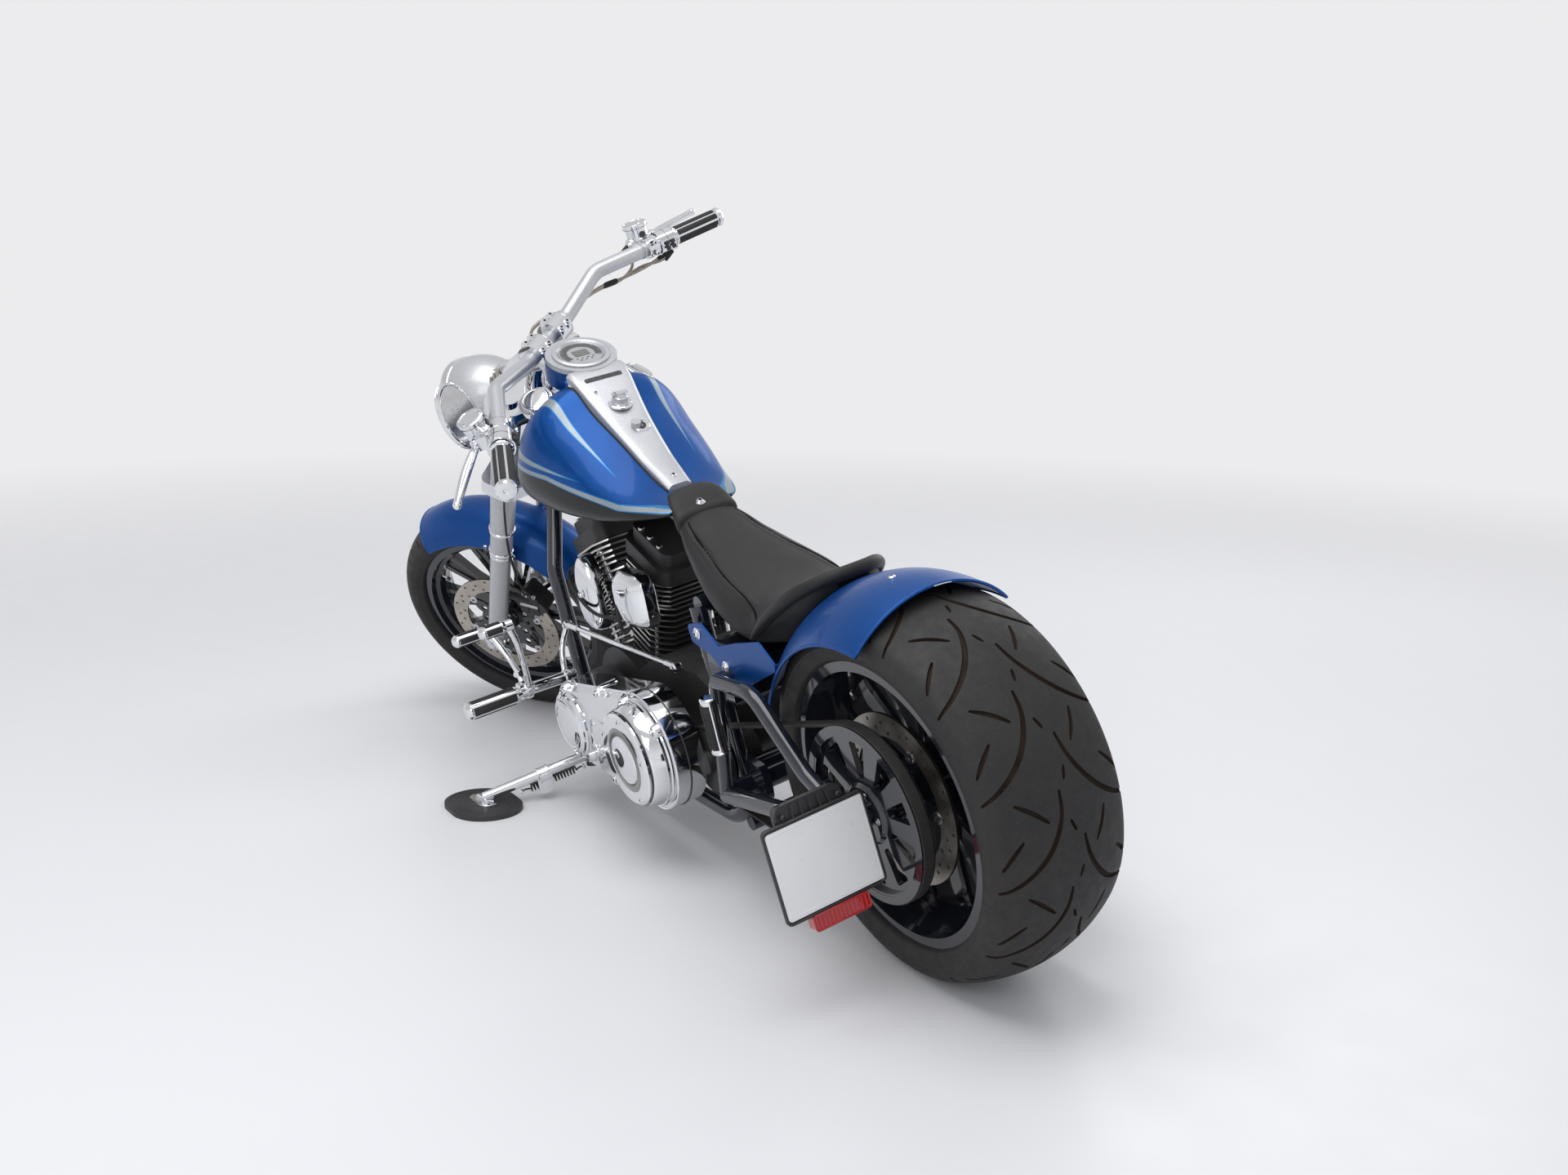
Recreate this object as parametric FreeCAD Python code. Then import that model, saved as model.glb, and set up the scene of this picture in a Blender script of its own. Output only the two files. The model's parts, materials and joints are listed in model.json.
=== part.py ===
import FreeCAD
import Part
import math
import os

# Chopper motorcycle with a very wide rear tyre, leaning on its side stand.
# Lengths are in millimetres. Each piece is drawn on the upright machine, with the
# steering straight, X forward, Y to the rider's left and Z up from the floor, with X = 0
# at the rear axle. The steered pieces are then turned to the left stop and the whole
# machine is leaned over until both tyres and the side stand reach the floor.

# Stance
wheelbase = 1706.0
rake_deg = 35.0
trail = 145.0
steer_stop_deg = 36.8
lean_deg = 12.2

# Rear wheel
rear_tyre_radius = 324.0
rear_tyre_half = 126.0
rear_bead_radius = 228.0
rear_rim_half = 112.0
rear_flange_radius = 241.0
rear_barrel_radius = 212.0
rear_hub_radius = 44.0
rear_hub_half = 78.0
rear_spokes = 9

# Front wheel
front_tyre_radius = 308.0
front_tyre_half = 65.0
front_bead_radius = 227.0
front_rim_half = 47.0
front_flange_radius = 239.0
front_barrel_radius = 216.0
front_hub_radius = 36.0
front_hub_half = 62.0
front_spokes = 10

# Axles and running clearances
axle_radius = 12.5
axle_fit = 0.05
nut_radius = 15.0
nut_reach = 14.0
near_gap = 0.3

# Brake discs
disc_radius = 146.0
disc_thickness = 5.0
disc_band = 40.0
rear_disc_y = 82.0
front_disc_y = 70.0

# Belt drive
pulley_radius = 145.0
belt_thickness = 6.0
belt_width = 20.0
belt_y = 142.0
pulley_gap = 0.4
drive_pulley_x = 520.0
drive_pulley_z = 262.0
drive_pulley_radius = 62.0

# Frame
rail_radius = 17.0
rail_y = 112.0
rail_z = 128.0
rail_front_x = 1150.0
rail_rear_x = 452.0
backbone_radius = 30.0
backbone_bends = ((1010.0, 774.0), (704.0, 668.0))
neck_radius = 33.0
neck_bore = 24.0
neck_low = 892.0
neck_high = 1078.0
post_top_x = 560.0
post_top_z = 560.0

# Steering head and fork
stem_radius = 23.95
yoke_thickness = 34.0
yoke_reach = 114.0
stem_nut_radius = 21.0
stem_nut_height = 12.0
leg_y = 118.0
leg_offset = 57.9
foot_half = 22.0
slider_low = 352.0
axle_end_radius = 11.0
axle_end_reach = 14.0
cover_radius = 32.0
cover_low_radius = 28.0
slider_radius = 25.0
slider_low_radius = 23.0
cover_end = 720.0
slider_top = 640.0
bar_axis_height = 1200.0
bar_offset = 30.5
bar_radius = 17.0
riser_y = 43.0
clamp_half = 24.0
clamp_radius = 30.0
riser_low_radius = 22.0
riser_top_radius = 19.0
riser_drop = 24.0

# Handlebar knee and grip, on the left side
knee = (1165.0, 231.0, 1030.0)
grip_outer = (1001.0, 510.0, 971.0)
grip_radius = 19.0

# Engine
crank_x = 955.0
crank_z = 252.0
case_radius = 122.0
case_half = 104.0
cylinder_angle_deg = 22.5
barrel_start = 108.0
head_start = 284.0
rocker_start = 338.0
rocker_end = 404.0
barrel_core = 58.0
fin_radius = 82.0
fin_thickness = 4.0
fin_pitch = 15.0
clutch_x = 632.0
clutch_z = 278.0
clutch_radius = 118.0
primary_inner_y = 164.0
primary_face_y = 262.0
crank_boss_radius = 88.0
derby_radius = 92.0
derby_height = 11.0

# Exhaust pipes on the right side
exhaust_y = 246.0
exhaust_radius = 23.0
silencer_radius = 44.0
exhaust_end_x = -30.0

# Fuel tank: x, half width, lowest z, widest z, top z, lean of the section
tank_sections = (
    (652.0, 70.0, 694.0, 701.0, 708.0, 0.0),
    (690.0, 100.0, 688.0, 701.0, 717.0, 0.0),
    (770.0, 130.0, 675.0, 704.0, 747.0, 0.0),
    (880.0, 161.0, 666.0, 717.0, 814.0, 0.1),
    (1000.0, 181.0, 667.0, 743.0, 881.0, 0.25),
    (1110.0, 184.0, 674.0, 770.0, 924.0, 0.5),
    (1180.0, 160.0, 690.0, 788.0, 920.0, 0.62),
    (1212.0, 118.0, 712.0, 798.0, 896.0, 0.66),
)
tank_tunnel_half = 34.0
tank_tunnel_gap = 4.0

# Console and speedometer
dial_x = 1058.0
dial_z = 972.0
dial_tilt_deg = 22.0
dial_radius = 50.0
console_ring_radius = 74.0
console_rear_x = 724.0
console_rear_half = 26.0

# Seat: x, half width, lowest z, z of the widest edge, top z
seat_sections = (
    (640.0, 64.0, 640.0, 668.0, 696.0),
    (560.0, 90.0, 596.0, 628.0, 664.0),
    (460.0, 124.0, 556.0, 584.0, 634.0),
    (350.0, 148.0, 520.0, 552.0, 620.0),
    (255.0, 152.0, 536.0, 562.0, 632.0),
    (190.0, 130.0, 560.0, 604.0, 662.0),
    (142.0, 92.0, 600.0, 648.0, 690.0),
)

# Rear fender
fender_radius = 346.0
fender_half = 146.0
fender_edge_radius = 279.0
fender_wall = 4.0
fender_rear_deg = 99.0
fender_front_deg = 26.0

# Front fender
front_fender_radius = 328.0
front_fender_half = 78.0
front_fender_edge_radius = 262.0
front_fender_wall = 3.5
front_fender_front_deg = 72.0
front_fender_rear_deg = 156.0

# Swingarm
arm_y = 178.0
arm_radius = 14.0
pivot_x = 418.0
pivot_z = 236.0
arm_top_x = 372.0
arm_top_z = 470.0

# Number plate
plate_width = 180.0
plate_height = 140.0
plate_thickness = 2.0
plate_x = -31.0
plate_y = 251.0
plate_z = 304.0
plate_tilt_deg = 12.0

# Headlight
lamp_x = 1388.0
lamp_z = 905.0
lamp_radius = 90.0

# Side stand and its puck on the floor
stand_pivot = (1040.0, 178.0, 138.0)
stand_axis_deg = 4.0
stand_fold_deg = 92.0
stand_pin_radius = 8.0
stand_pin_fit = 0.05
stand_radius = 11.0
puck_x = 1082.0
puck_y = 439.0
puck_length = 184.0
puck_width = 150.0
puck_height = 9.0
foot_length = 84.0
foot_width = 40.0
foot_thickness = 6.0

rake = math.radians(rake_deg)
fork_direction = FreeCAD.Vector(-math.sin(rake), 0, math.cos(rake))
fork_forward = FreeCAD.Vector(math.cos(rake), 0, math.sin(rake))
fork_base = FreeCAD.Vector(wheelbase + trail, 0, 0)
y_axis = FreeCAD.Vector(0, 1, 0)
x_axis = FreeCAD.Vector(1, 0, 0)
z_axis = FreeCAD.Vector(0, 0, 1)


def vec(x, y, z):
    return FreeCAD.Vector(x, y, z)


# A point in the steering head's own frame: along the axis, forward of it and to the left.
def fork_point(along, forward, left):
    return fork_base + fork_direction * along + fork_forward * forward + y_axis * left


# Straight runs joined by tangent arcs, through corner points.
def rounded_wire(points, radii, closed=False):
    count = len(points)
    starts, middles, ends = [], [], []
    for i, corner in enumerate(points):
        radius = radii[i] if isinstance(radii, (list, tuple)) else radii
        if radius == 0 or (not closed and i in (0, count - 1)):
            starts.append(corner)
            middles.append(None)
            ends.append(corner)
            continue
        back = (points[i - 1] - corner).normalize()
        ahead = (points[(i + 1) % count] - corner).normalize()
        half_turn = (math.pi - back.getAngle(ahead)) / 2
        reach = radius * math.tan(half_turn)
        starts.append(corner + back * reach)
        ends.append(corner + ahead * reach)
        inward = (back + ahead).normalize()
        middles.append(corner + inward * (radius / math.cos(half_turn) - radius))
    edges = []
    for i in range(count):
        if middles[i] is not None:
            edges.append(Part.Arc(starts[i], middles[i], ends[i]).toShape())
        following = (i + 1) % count
        if following == 0 and not closed:
            break
        if (ends[i] - starts[following]).Length > 0.001:
            edges.append(Part.LineSegment(ends[i], starts[following]).toShape())
    return Part.Wire(edges)


# A round bar or pipe along straight runs and tangent arcs.
def bent_tube(points, bend, radius):
    spine = rounded_wire(points, bend)
    ring = Part.Wire(Part.makeCircle(radius, points[0], points[1] - points[0]))
    return spine.makePipeShell([ring], True, False)


# A flat piece with rounded corners, given by its outline and its thickness as a vector.
def flat_piece(points, corner, thickness):
    return Part.Face(rounded_wire(points, corner, True)).extrude(thickness)


def side_points(outline, y):
    return [vec(x, y, z) for x, z in outline]


def bar_between(start, end, radius):
    return Part.makeCylinder(radius, (end - start).Length, start, end - start)


def tapered_bar(start, end, radius_start, radius_end):
    if abs(radius_start - radius_end) < 0.001:
        return bar_between(start, end, radius_start)
    return Part.makeCone(radius_start, radius_end, (end - start).Length, start, end - start)


def joined(pieces):
    whole = pieces[0]
    if len(pieces) > 1:
        whole = pieces[0].multiFuse(pieces[1:])
    return whole.removeSplitter()


# A closed smooth ring of points as one edge.
def smooth_ring(points):
    curve = Part.BSplineCurve()
    curve.interpolate(points, True)
    return Part.Wire(curve.toShape())


def mirrored(shape):
    return shape.mirror(vec(0, 0, 0), y_axis)


def both_sides(shape):
    return Part.makeCompound([shape, mirrored(shape)])


# A body of revolution about the Y axis, from half-profile points of (y, radius).
def turned(profile, corner=0.0):
    points = [vec(0, y, r) for y, r in profile]
    face = Part.Face(rounded_wire(points, corner, True))
    return face.revolve(vec(0, 0, 0), y_axis, 360)


def turned_about(profile, base, axis, corner=0.0):
    shape = turned(profile, corner)
    turn = FreeCAD.Rotation(y_axis, axis)
    shape.Placement = FreeCAD.Placement(base, turn)
    return shape


def power(value, exponent):
    return math.copysign(abs(value) ** exponent, value)


# Wheels, each about its own axle at the origin
def tyre(radius, half, bead_radius, bead_half, flange_radius):
    wall = radius - bead_radius
    shoulder_y = 0.88 * half
    shoulder_r = radius - 0.27 * wall
    edges = [
        Part.Arc(vec(0, -shoulder_y, shoulder_r), vec(0, 0, radius), vec(0, shoulder_y, shoulder_r)),
        Part.Arc(vec(0, shoulder_y, shoulder_r), vec(0, half, bead_radius + 0.46 * wall),
                 vec(0, bead_half, flange_radius)),
        Part.LineSegment(vec(0, bead_half, flange_radius), vec(0, bead_half - 9, flange_radius)),
        Part.LineSegment(vec(0, bead_half - 9, flange_radius), vec(0, bead_half - 9, bead_radius)),
        Part.LineSegment(vec(0, bead_half - 9, bead_radius), vec(0, 9 - bead_half, bead_radius)),
        Part.LineSegment(vec(0, 9 - bead_half, bead_radius), vec(0, 9 - bead_half, flange_radius)),
        Part.LineSegment(vec(0, 9 - bead_half, flange_radius), vec(0, -bead_half, flange_radius)),
        Part.Arc(vec(0, -bead_half, flange_radius), vec(0, -half, bead_radius + 0.46 * wall),
                 vec(0, -shoulder_y, shoulder_r)),
    ]
    wire = Part.Wire([edge.toShape() for edge in edges])
    return Part.Face(wire).revolve(vec(0, 0, 0), y_axis, 360)


# The barrel has its bead seats under the tyre, a lip at each edge and a dropped well.
def rim_barrel(half, bead_radius, flange_radius, barrel_radius):
    lip = 8.0
    well = 0.45 * half
    drop = bead_radius - 14.0
    profile = [
        (-half, flange_radius), (lip - half, flange_radius), (lip - half, bead_radius),
        (-well - 16, bead_radius), (-well, drop), (well, drop), (well + 16, bead_radius),
        (half - lip, bead_radius), (half - lip, flange_radius), (half, flange_radius),
        (half, bead_radius - 4), (half - 14, bead_radius - 8), (well + 6, barrel_radius - 6),
        (well - 10, barrel_radius - 12), (10 - well, barrel_radius - 12),
        (-well - 6, barrel_radius - 6), (14 - half, bead_radius - 8), (-half, bead_radius - 4),
    ]
    return turned(profile)


# A spoke is a straight-sided bar; the star of spokes is thinned between hub and rim.
def spoke(inner, outer, width_hub, width_middle, width_rim):
    middle = inner + 0.55 * (outer - inner)
    outline = [vec(-width_hub / 2, -60, inner), vec(width_hub / 2, -60, inner),
               vec(width_middle / 2, -60, middle), vec(width_rim / 2, -60, outer),
               vec(-width_rim / 2, -60, outer), vec(-width_middle / 2, -60, middle)]
    return Part.Face(Part.makePolygon(outline + [outline[0]])).extrude(vec(0, 120, 0))


def wheel_rim(half, bead_radius, flange_radius, barrel_radius, hub_radius, hub_half, spokes,
              split_deg, depth_hub, depth_middle, depth_rim):
    barrel = rim_barrel(half, bead_radius, flange_radius, barrel_radius)
    hub = turned([(-hub_half, hub_radius - 8), (12 - hub_half, hub_radius), (-20, hub_radius + 4),
                  (20, hub_radius + 4), (hub_half - 12, hub_radius), (hub_half, hub_radius - 8),
                  (hub_half, axle_radius + axle_fit), (-hub_half, axle_radius + axle_fit)])
    inner = hub_radius - 6.0
    outer = barrel_radius - 5.0
    middle = inner + 0.55 * (outer - inner)
    arms = []
    for i in range(spokes):
        for side in (-1, 1):
            arm = spoke(inner, outer, 17, 10, 14)
            arm.rotate(vec(0, 0, 0), y_axis, 360.0 * i / spokes + side * split_deg)
            arms.append(arm)
    lens = turned([(-depth_hub / 2, inner - 1), (-depth_middle / 2, middle), (-depth_rim / 2, outer + 1),
                   (depth_rim / 2, outer + 1), (depth_middle / 2, middle), (depth_hub / 2, inner - 1)])
    star = arms[0].multiFuse(arms[1:]).common(lens)
    return joined([barrel, hub, star])


def rear_rim():
    return wheel_rim(rear_rim_half, rear_bead_radius, rear_flange_radius, rear_barrel_radius,
                     rear_hub_radius, rear_hub_half, rear_spokes, 7.0, 38.0, 24.0, 32.0)


def front_rim():
    return wheel_rim(front_rim_half, front_bead_radius, front_flange_radius,
                     front_barrel_radius, front_hub_radius, front_hub_half, front_spokes,
                     5.5, 34.0, 20.0, 24.0)


# A steel ring on a dark carrier with open windows, bolted to the hub's end.
def brake_disc(y, hub_end, hub_radius):
    ring = turned([(y - disc_thickness / 2, disc_radius), (y + disc_thickness / 2, disc_radius),
                   (y + disc_thickness / 2, disc_radius - disc_band),
                   (y - disc_thickness / 2, disc_radius - disc_band)])
    carrier = turned([(y - 2, disc_radius - disc_band + 2), (y + 2, disc_radius - disc_band + 2),
                      (y + 2, hub_radius - 14), (hub_end, hub_radius - 14),
                      (hub_end, hub_radius - 1), (y - 2, hub_radius + 8)])
    windows = []
    inner = hub_radius + 14.0
    outer = disc_radius - disc_band - 6.0
    for i in range(6):
        hole = flat_piece([vec(-9, y - 20, inner), vec(9, y - 20, inner),
                           vec(20, y - 20, outer), vec(-20, y - 20, outer)], 5.0, vec(0, 40, 0))
        hole.rotate(vec(0, 0, 0), y_axis, 60.0 * i)
        windows.append(hole)
    return joined([ring, carrier]).cut(Part.makeCompound(windows))


# The driven pulley stands outside the disc on a sleeve from the hub.
def rear_pulley():
    inner_y = belt_y - belt_width / 2 - 2
    outer_y = belt_y + belt_width / 2 + 2
    sleeve = rear_hub_radius - 15.0
    start_y = rear_disc_y + 2
    rim = turned([(inner_y, pulley_radius), (outer_y, pulley_radius),
                  (outer_y, pulley_radius - 13), (inner_y, pulley_radius - 13)])
    face = turned([(start_y, sleeve), (inner_y + 6, sleeve + 8), (inner_y + 6, pulley_radius - 11),
                   (outer_y - 8, pulley_radius - 11), (outer_y - 8, 52), (outer_y - 2, 46),
                   (outer_y - 2, axle_radius + axle_fit), (start_y, axle_radius + axle_fit)])
    windows = []
    for i in range(10):
        hole = flat_piece([vec(-7, inner_y - 4, 62), vec(7, inner_y - 4, 62),
                           vec(20, inner_y - 4, pulley_radius - 24),
                           vec(-20, inner_y - 4, pulley_radius - 24)], 5.0, vec(0, 40, 0))
        hole.rotate(vec(0, 0, 0), y_axis, 36.0 * i)
        windows.append(hole)
    return joined([rim, face]).cut(Part.makeCompound(windows))


# The belt is a flat loop round the two pulleys with its back outward.
def drive_belt():
    rear = vec(0, belt_y - belt_width / 2, rear_tyre_radius)
    front = vec(drive_pulley_x, belt_y - belt_width / 2, drive_pulley_z)

    def loop(radius_rear, radius_front):
        span = front - rear
        lean = math.asin((radius_rear - radius_front) / span.Length)
        base = math.atan2(span.z, span.x)
        upper = base + math.pi / 2 - lean
        lower = base - math.pi / 2 + lean

        def at(centre, radius, angle):
            return centre + vec(radius * math.cos(angle), 0, radius * math.sin(angle))
        return Part.Wire([
            Part.LineSegment(at(rear, radius_rear, upper), at(front, radius_front, upper)).toShape(),
            Part.Arc(at(front, radius_front, upper), at(front, radius_front, base),
                     at(front, radius_front, lower)).toShape(),
            Part.LineSegment(at(front, radius_front, lower), at(rear, radius_rear, lower)).toShape(),
            Part.Arc(at(rear, radius_rear, lower), at(rear, radius_rear, base + math.pi),
                     at(rear, radius_rear, upper)).toShape()])

    inner = loop(pulley_radius + pulley_gap, drive_pulley_radius + pulley_gap)
    outer = loop(pulley_radius + pulley_gap + belt_thickness,
                 drive_pulley_radius + pulley_gap + belt_thickness)
    width = vec(0, belt_width, 0)
    return Part.Face(outer).extrude(width).cut(Part.Face(inner).extrude(width))


# Neck, backbone, twin down tubes and lower rails, rear posts and their cross members
def frame():
    low = fork_point(neck_low, 0, 0)
    high = fork_point(neck_high, 0, 0)
    neck = bar_between(low, high, neck_radius)
    middle = (low + high) * 0.5
    bends = [vec(x, 0, z) for x, z in backbone_bends]
    backbone = bent_tube([middle] + bends + [vec(post_top_x, 0, post_top_z)], 160, backbone_radius)
    pieces = [neck, backbone]
    down_start = fork_point(neck_low + 100, 0, 0)
    for side in (1, -1):
        rail = bent_tube([down_start, vec(rail_front_x + 72, side * rail_y * 0.9, 500),
                          vec(rail_front_x, side * rail_y, rail_z),
                          vec(rail_rear_x, side * rail_y, rail_z),
                          vec(post_top_x - 40, side * rail_y, post_top_z)], 90, rail_radius)
        pieces.append(rail)
    top = bar_between(vec(post_top_x - 40, -rail_y, post_top_z),
                      vec(post_top_x - 40, rail_y, post_top_z), rail_radius)
    link = bar_between(vec(post_top_x - 40, 0, post_top_z), vec(post_top_x, 0, post_top_z),
                       rail_radius)
    pivot = bar_between(vec(pivot_x + 60, -rail_y, pivot_z), vec(pivot_x + 60, rail_y, pivot_z), 20)
    cross = bar_between(vec(rail_rear_x + 30, -rail_y, rail_z), vec(rail_rear_x + 30, rail_y, rail_z),
                        rail_radius - 2)
    pieces += [top, link, pivot, cross]
    return joined(pieces).cut(bar_between(low - fork_direction, high + fork_direction, neck_bore))


# Two legs each side joined at the axle plate, cross tubes at the pivot and at the top,
# and the axle with its collars
def swingarm():
    axle_z = rear_tyre_radius
    pieces = [bar_between(vec(pivot_x, -arm_y, pivot_z), vec(pivot_x, arm_y, pivot_z), 20),
              bar_between(vec(arm_top_x, -arm_y, arm_top_z), vec(arm_top_x, arm_y, arm_top_z),
                          arm_radius)]
    for side in (1, -1):
        y = side * arm_y
        pieces.append(bent_tube([vec(pivot_x, y, pivot_z), vec(230, y, 268), vec(46, y, axle_z - 8)],
                                120, arm_radius + 2))
        pieces.append(bent_tube([vec(arm_top_x, y, arm_top_z), vec(250, y, 478),
                                 vec(118, y, axle_z + 46), vec(40, y, axle_z + 10)], 70, arm_radius))
        pieces.append(bar_between(vec(pivot_x, y, pivot_z), vec(arm_top_x, y, arm_top_z), arm_radius))
        plate = flat_piece(side_points([(-18, axle_z - 26), (70, axle_z - 32), (92, axle_z + 34),
                                        (-18, axle_z + 30)], y - 6), 16, vec(0, 12, 0))
        pieces.append(plate)
    nut = turned([(arm_y, nut_radius), (arm_y + 6 + nut_reach, nut_radius),
                  (arm_y + 6 + nut_reach, 0), (arm_y, 0)])
    right_collar = bar_between(vec(0, -arm_y, axle_z), vec(0, -rear_hub_half - near_gap, axle_z), 20)
    left_start = belt_y + belt_width / 2 + near_gap
    left_collar = bar_between(vec(0, left_start, axle_z), vec(0, arm_y, axle_z), 20)
    axle = bar_between(vec(0, -arm_y - 8, axle_z), vec(0, arm_y + 8, axle_z), axle_radius)
    nut.translate(vec(0, 0, axle_z))
    return joined(pieces + [axle, right_collar, left_collar, nut, mirrored(nut)])


def pivot_lugs():
    lugs = []
    for side in (1, -1):
        y = side * (rail_y - 2) - 8
        lugs.append(flat_piece(side_points([(pivot_x - 34, pivot_z - 34), (rail_rear_x + 26, pivot_z - 46),
                                            (rail_rear_x + 34, pivot_z + 46), (pivot_x - 34, pivot_z + 34)],
                                           y), 22, vec(0, 16, 0)))
    return lugs


# Engine: crankcase, gearbox and cam chest in one casting group
def engine_cases():
    crank = bar_between(vec(crank_x, -case_half, crank_z), vec(crank_x, case_half + 50, crank_z),
                        case_radius)
    flange = bar_between(vec(crank_x, case_half + 20, crank_z), vec(crank_x, primary_inner_y, crank_z), 92)
    pieces = [crank.common(Part.makeBox(600, 2 * case_half, 600,
                                        vec(crank_x - 300, -case_half, crank_z - 300))), flange]
    for sign in (1, -1):
        lean = math.radians(sign * cylinder_angle_deg)
        deck = Part.makeBox(2 * barrel_core + 44, 2 * barrel_core + 36, barrel_start,
                            vec(-barrel_core - 22, -barrel_core - 18, 0))
        deck.rotate(vec(0, 0, 0), y_axis, math.degrees(lean))
        deck.translate(vec(crank_x, 0, crank_z))
        pieces.append(deck.common(vee_side(sign)))
    outline = [(crank_x - 96, crank_z - 96), (800, 176), (560, 186), (524, 250), (528, 372), (600, 402),
               (770, 396), (crank_x - 90, crank_z + 96)]
    gearbox = flat_piece(side_points(outline, -case_half + 8), 24, vec(0, 2 * case_half - 6, 0))
    pieces.append(gearbox)
    sump = flat_piece(side_points([(crank_x - 110, 158), (crank_x + 84, 158), (crank_x + 100, 230),
                                   (crank_x - 110, 230)], -80), 14, vec(0, 160, 0))
    pieces.append(sump)
    main_drive = bar_between(vec(drive_pulley_x, 60, drive_pulley_z),
                             vec(drive_pulley_x, belt_y - belt_width / 2 - 6, drive_pulley_z), 40)
    shaft = bar_between(vec(drive_pulley_x, 60, drive_pulley_z),
                        vec(drive_pulley_x, primary_inner_y, drive_pulley_z), 22)
    sprocket = bar_between(vec(drive_pulley_x, belt_y - belt_width / 2 - 1, drive_pulley_z),
                           vec(drive_pulley_x, belt_y + belt_width / 2 + 1, drive_pulley_z),
                           drive_pulley_radius)
    whole = joined(pieces + [main_drive, shaft, sprocket])
    return whole


# Everything of one cylinder stays on its own side of the plane between the two.
def vee_side(sign):
    start = crank_x + 0.5 if sign > 0 else crank_x - 0.5 - 800
    return Part.makeBox(800, 800, 1600, vec(start, -400, crank_z - 400))


def along_cylinder(sign, distance, across=0.0, left=0.0):
    lean = math.radians(sign * cylinder_angle_deg)
    return vec(crank_x + distance * math.sin(lean) + across * math.cos(lean), left,
               crank_z + distance * math.cos(lean) - across * math.sin(lean))


# A fin is a disc trimmed square at front, back and sides.
def fin(start, radius, half, thickness):
    disc = Part.makeCylinder(radius, thickness, vec(0, 0, start))
    square = Part.makeBox(2 * half, 2 * half, thickness, vec(-half, -half, start))
    return disc.common(square)


def cylinder(sign):
    pieces = [Part.makeCylinder(barrel_core, head_start - barrel_start, vec(0, 0, barrel_start))]
    start = barrel_start + 10
    while start < head_start - 6:
        pieces.append(fin(start, fin_radius, fin_radius * 0.9, fin_thickness))
        start += fin_pitch
    pieces.append(Part.makeBox(2 * barrel_core + 4, 2 * barrel_core + 4, rocker_start - head_start,
                               vec(-barrel_core - 2, -barrel_core - 2, head_start)))
    start = head_start
    while start < rocker_start - 4:
        pieces.append(fin(start, fin_radius + 10, fin_radius * 0.95, fin_thickness))
        start += fin_pitch * 0.8
    whole = joined(pieces)
    whole.rotate(vec(0, 0, 0), y_axis, sign * cylinder_angle_deg)
    whole.translate(vec(crank_x, 0, crank_z))
    return whole.common(vee_side(sign))


def rocker_cover(sign):
    lower = flat_piece([vec(-84, -70, rocker_start), vec(84, -70, rocker_start),
                        vec(84, 70, rocker_start), vec(-84, 70, rocker_start)], 26, vec(0, 0, 34))
    upper = flat_piece([vec(-72, -58, rocker_start + 34), vec(72, -58, rocker_start + 34),
                        vec(72, 58, rocker_start + 34), vec(-72, 58, rocker_start + 34)], 24,
                       vec(0, 0, rocker_end - rocker_start - 34))
    whole = joined([lower, upper])
    whole.rotate(vec(0, 0, 0), y_axis, sign * cylinder_angle_deg)
    whole.translate(vec(crank_x, 0, crank_z))
    return whole


# Right side: the cam chest cover with the four pushrod tubes rising from it
def cam_cover():
    y = -case_half
    outline = [(crank_x - 96, crank_z + 10), (crank_x - 40, crank_z - 62), (crank_x + 40, crank_z - 62),
               (crank_x + 96, crank_z + 10), (crank_x + 62, crank_z + 84), (crank_x - 62, crank_z + 84)]
    cover = flat_piece(side_points(outline, y), 30, vec(0, -38, 0))
    nose = bar_between(vec(crank_x, y - 38, crank_z), vec(crank_x, y - 46, crank_z), 42)
    tubes = []
    for sign in (1, -1):
        for spread in (-20, 20):
            foot = vec(crank_x + sign * 48 + spread * 0.5, y - 18, crank_z + 60)
            head = along_cylinder(sign, rocker_start + 6, -sign * 16 + spread, -90)
            tubes.append(bar_between(foot, head, 9))
    return joined([cover, nose] + tubes)


# Left side: the primary cover reaches from the crankshaft boss back to the clutch dome.
def primary_cover():
    def hull(rear, front, y, depth):
        a = vec(clutch_x, y, clutch_z)
        b = vec(crank_x, y, crank_z)
        span = b - a
        lean = math.asin((rear - front) / span.Length)
        base = math.atan2(span.z, span.x)
        up = base + math.pi / 2 - lean
        down = base - math.pi / 2 + lean

        def at(centre, radius, angle):
            return centre + vec(radius * math.cos(angle), 0, radius * math.sin(angle))
        outline = Part.Wire([
            Part.LineSegment(at(a, rear, up), at(b, front, up)).toShape(),
            Part.Arc(at(b, front, up), at(b, front, base), at(b, front, down)).toShape(),
            Part.LineSegment(at(b, front, down), at(a, rear, down)).toShape(),
            Part.Arc(at(a, rear, down), at(a, rear, base + math.pi), at(a, rear, up)).toShape()])
        return Part.Face(outline).extrude(vec(0, depth, 0))
    base = hull(clutch_radius, crank_boss_radius, primary_inner_y, 58)
    shoulder = hull(clutch_radius - 12, crank_boss_radius - 14, primary_inner_y + 58, 14)
    dome = turned([(0, 0), (0, clutch_radius - 10), (18, clutch_radius - 22),
                   (primary_face_y - primary_inner_y - 64, derby_radius + 2),
                   (primary_face_y - primary_inner_y - 64, 0)])
    dome.translate(vec(clutch_x, primary_inner_y + 64, clutch_z))
    boss = turned([(0, 0), (0, crank_boss_radius - 18), (14, crank_boss_radius - 30), (14, 0)])
    boss.translate(vec(crank_x, primary_inner_y + 72, crank_z))
    return joined([base, shoulder, dome, boss])


def derby_cover():
    plate = turned([(0, 0), (0, derby_radius), (derby_height - 4, derby_radius),
                    (derby_height, derby_radius - 5), (derby_height, 0)])
    plate.translate(vec(clutch_x, primary_face_y, clutch_z))
    return plate


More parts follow.
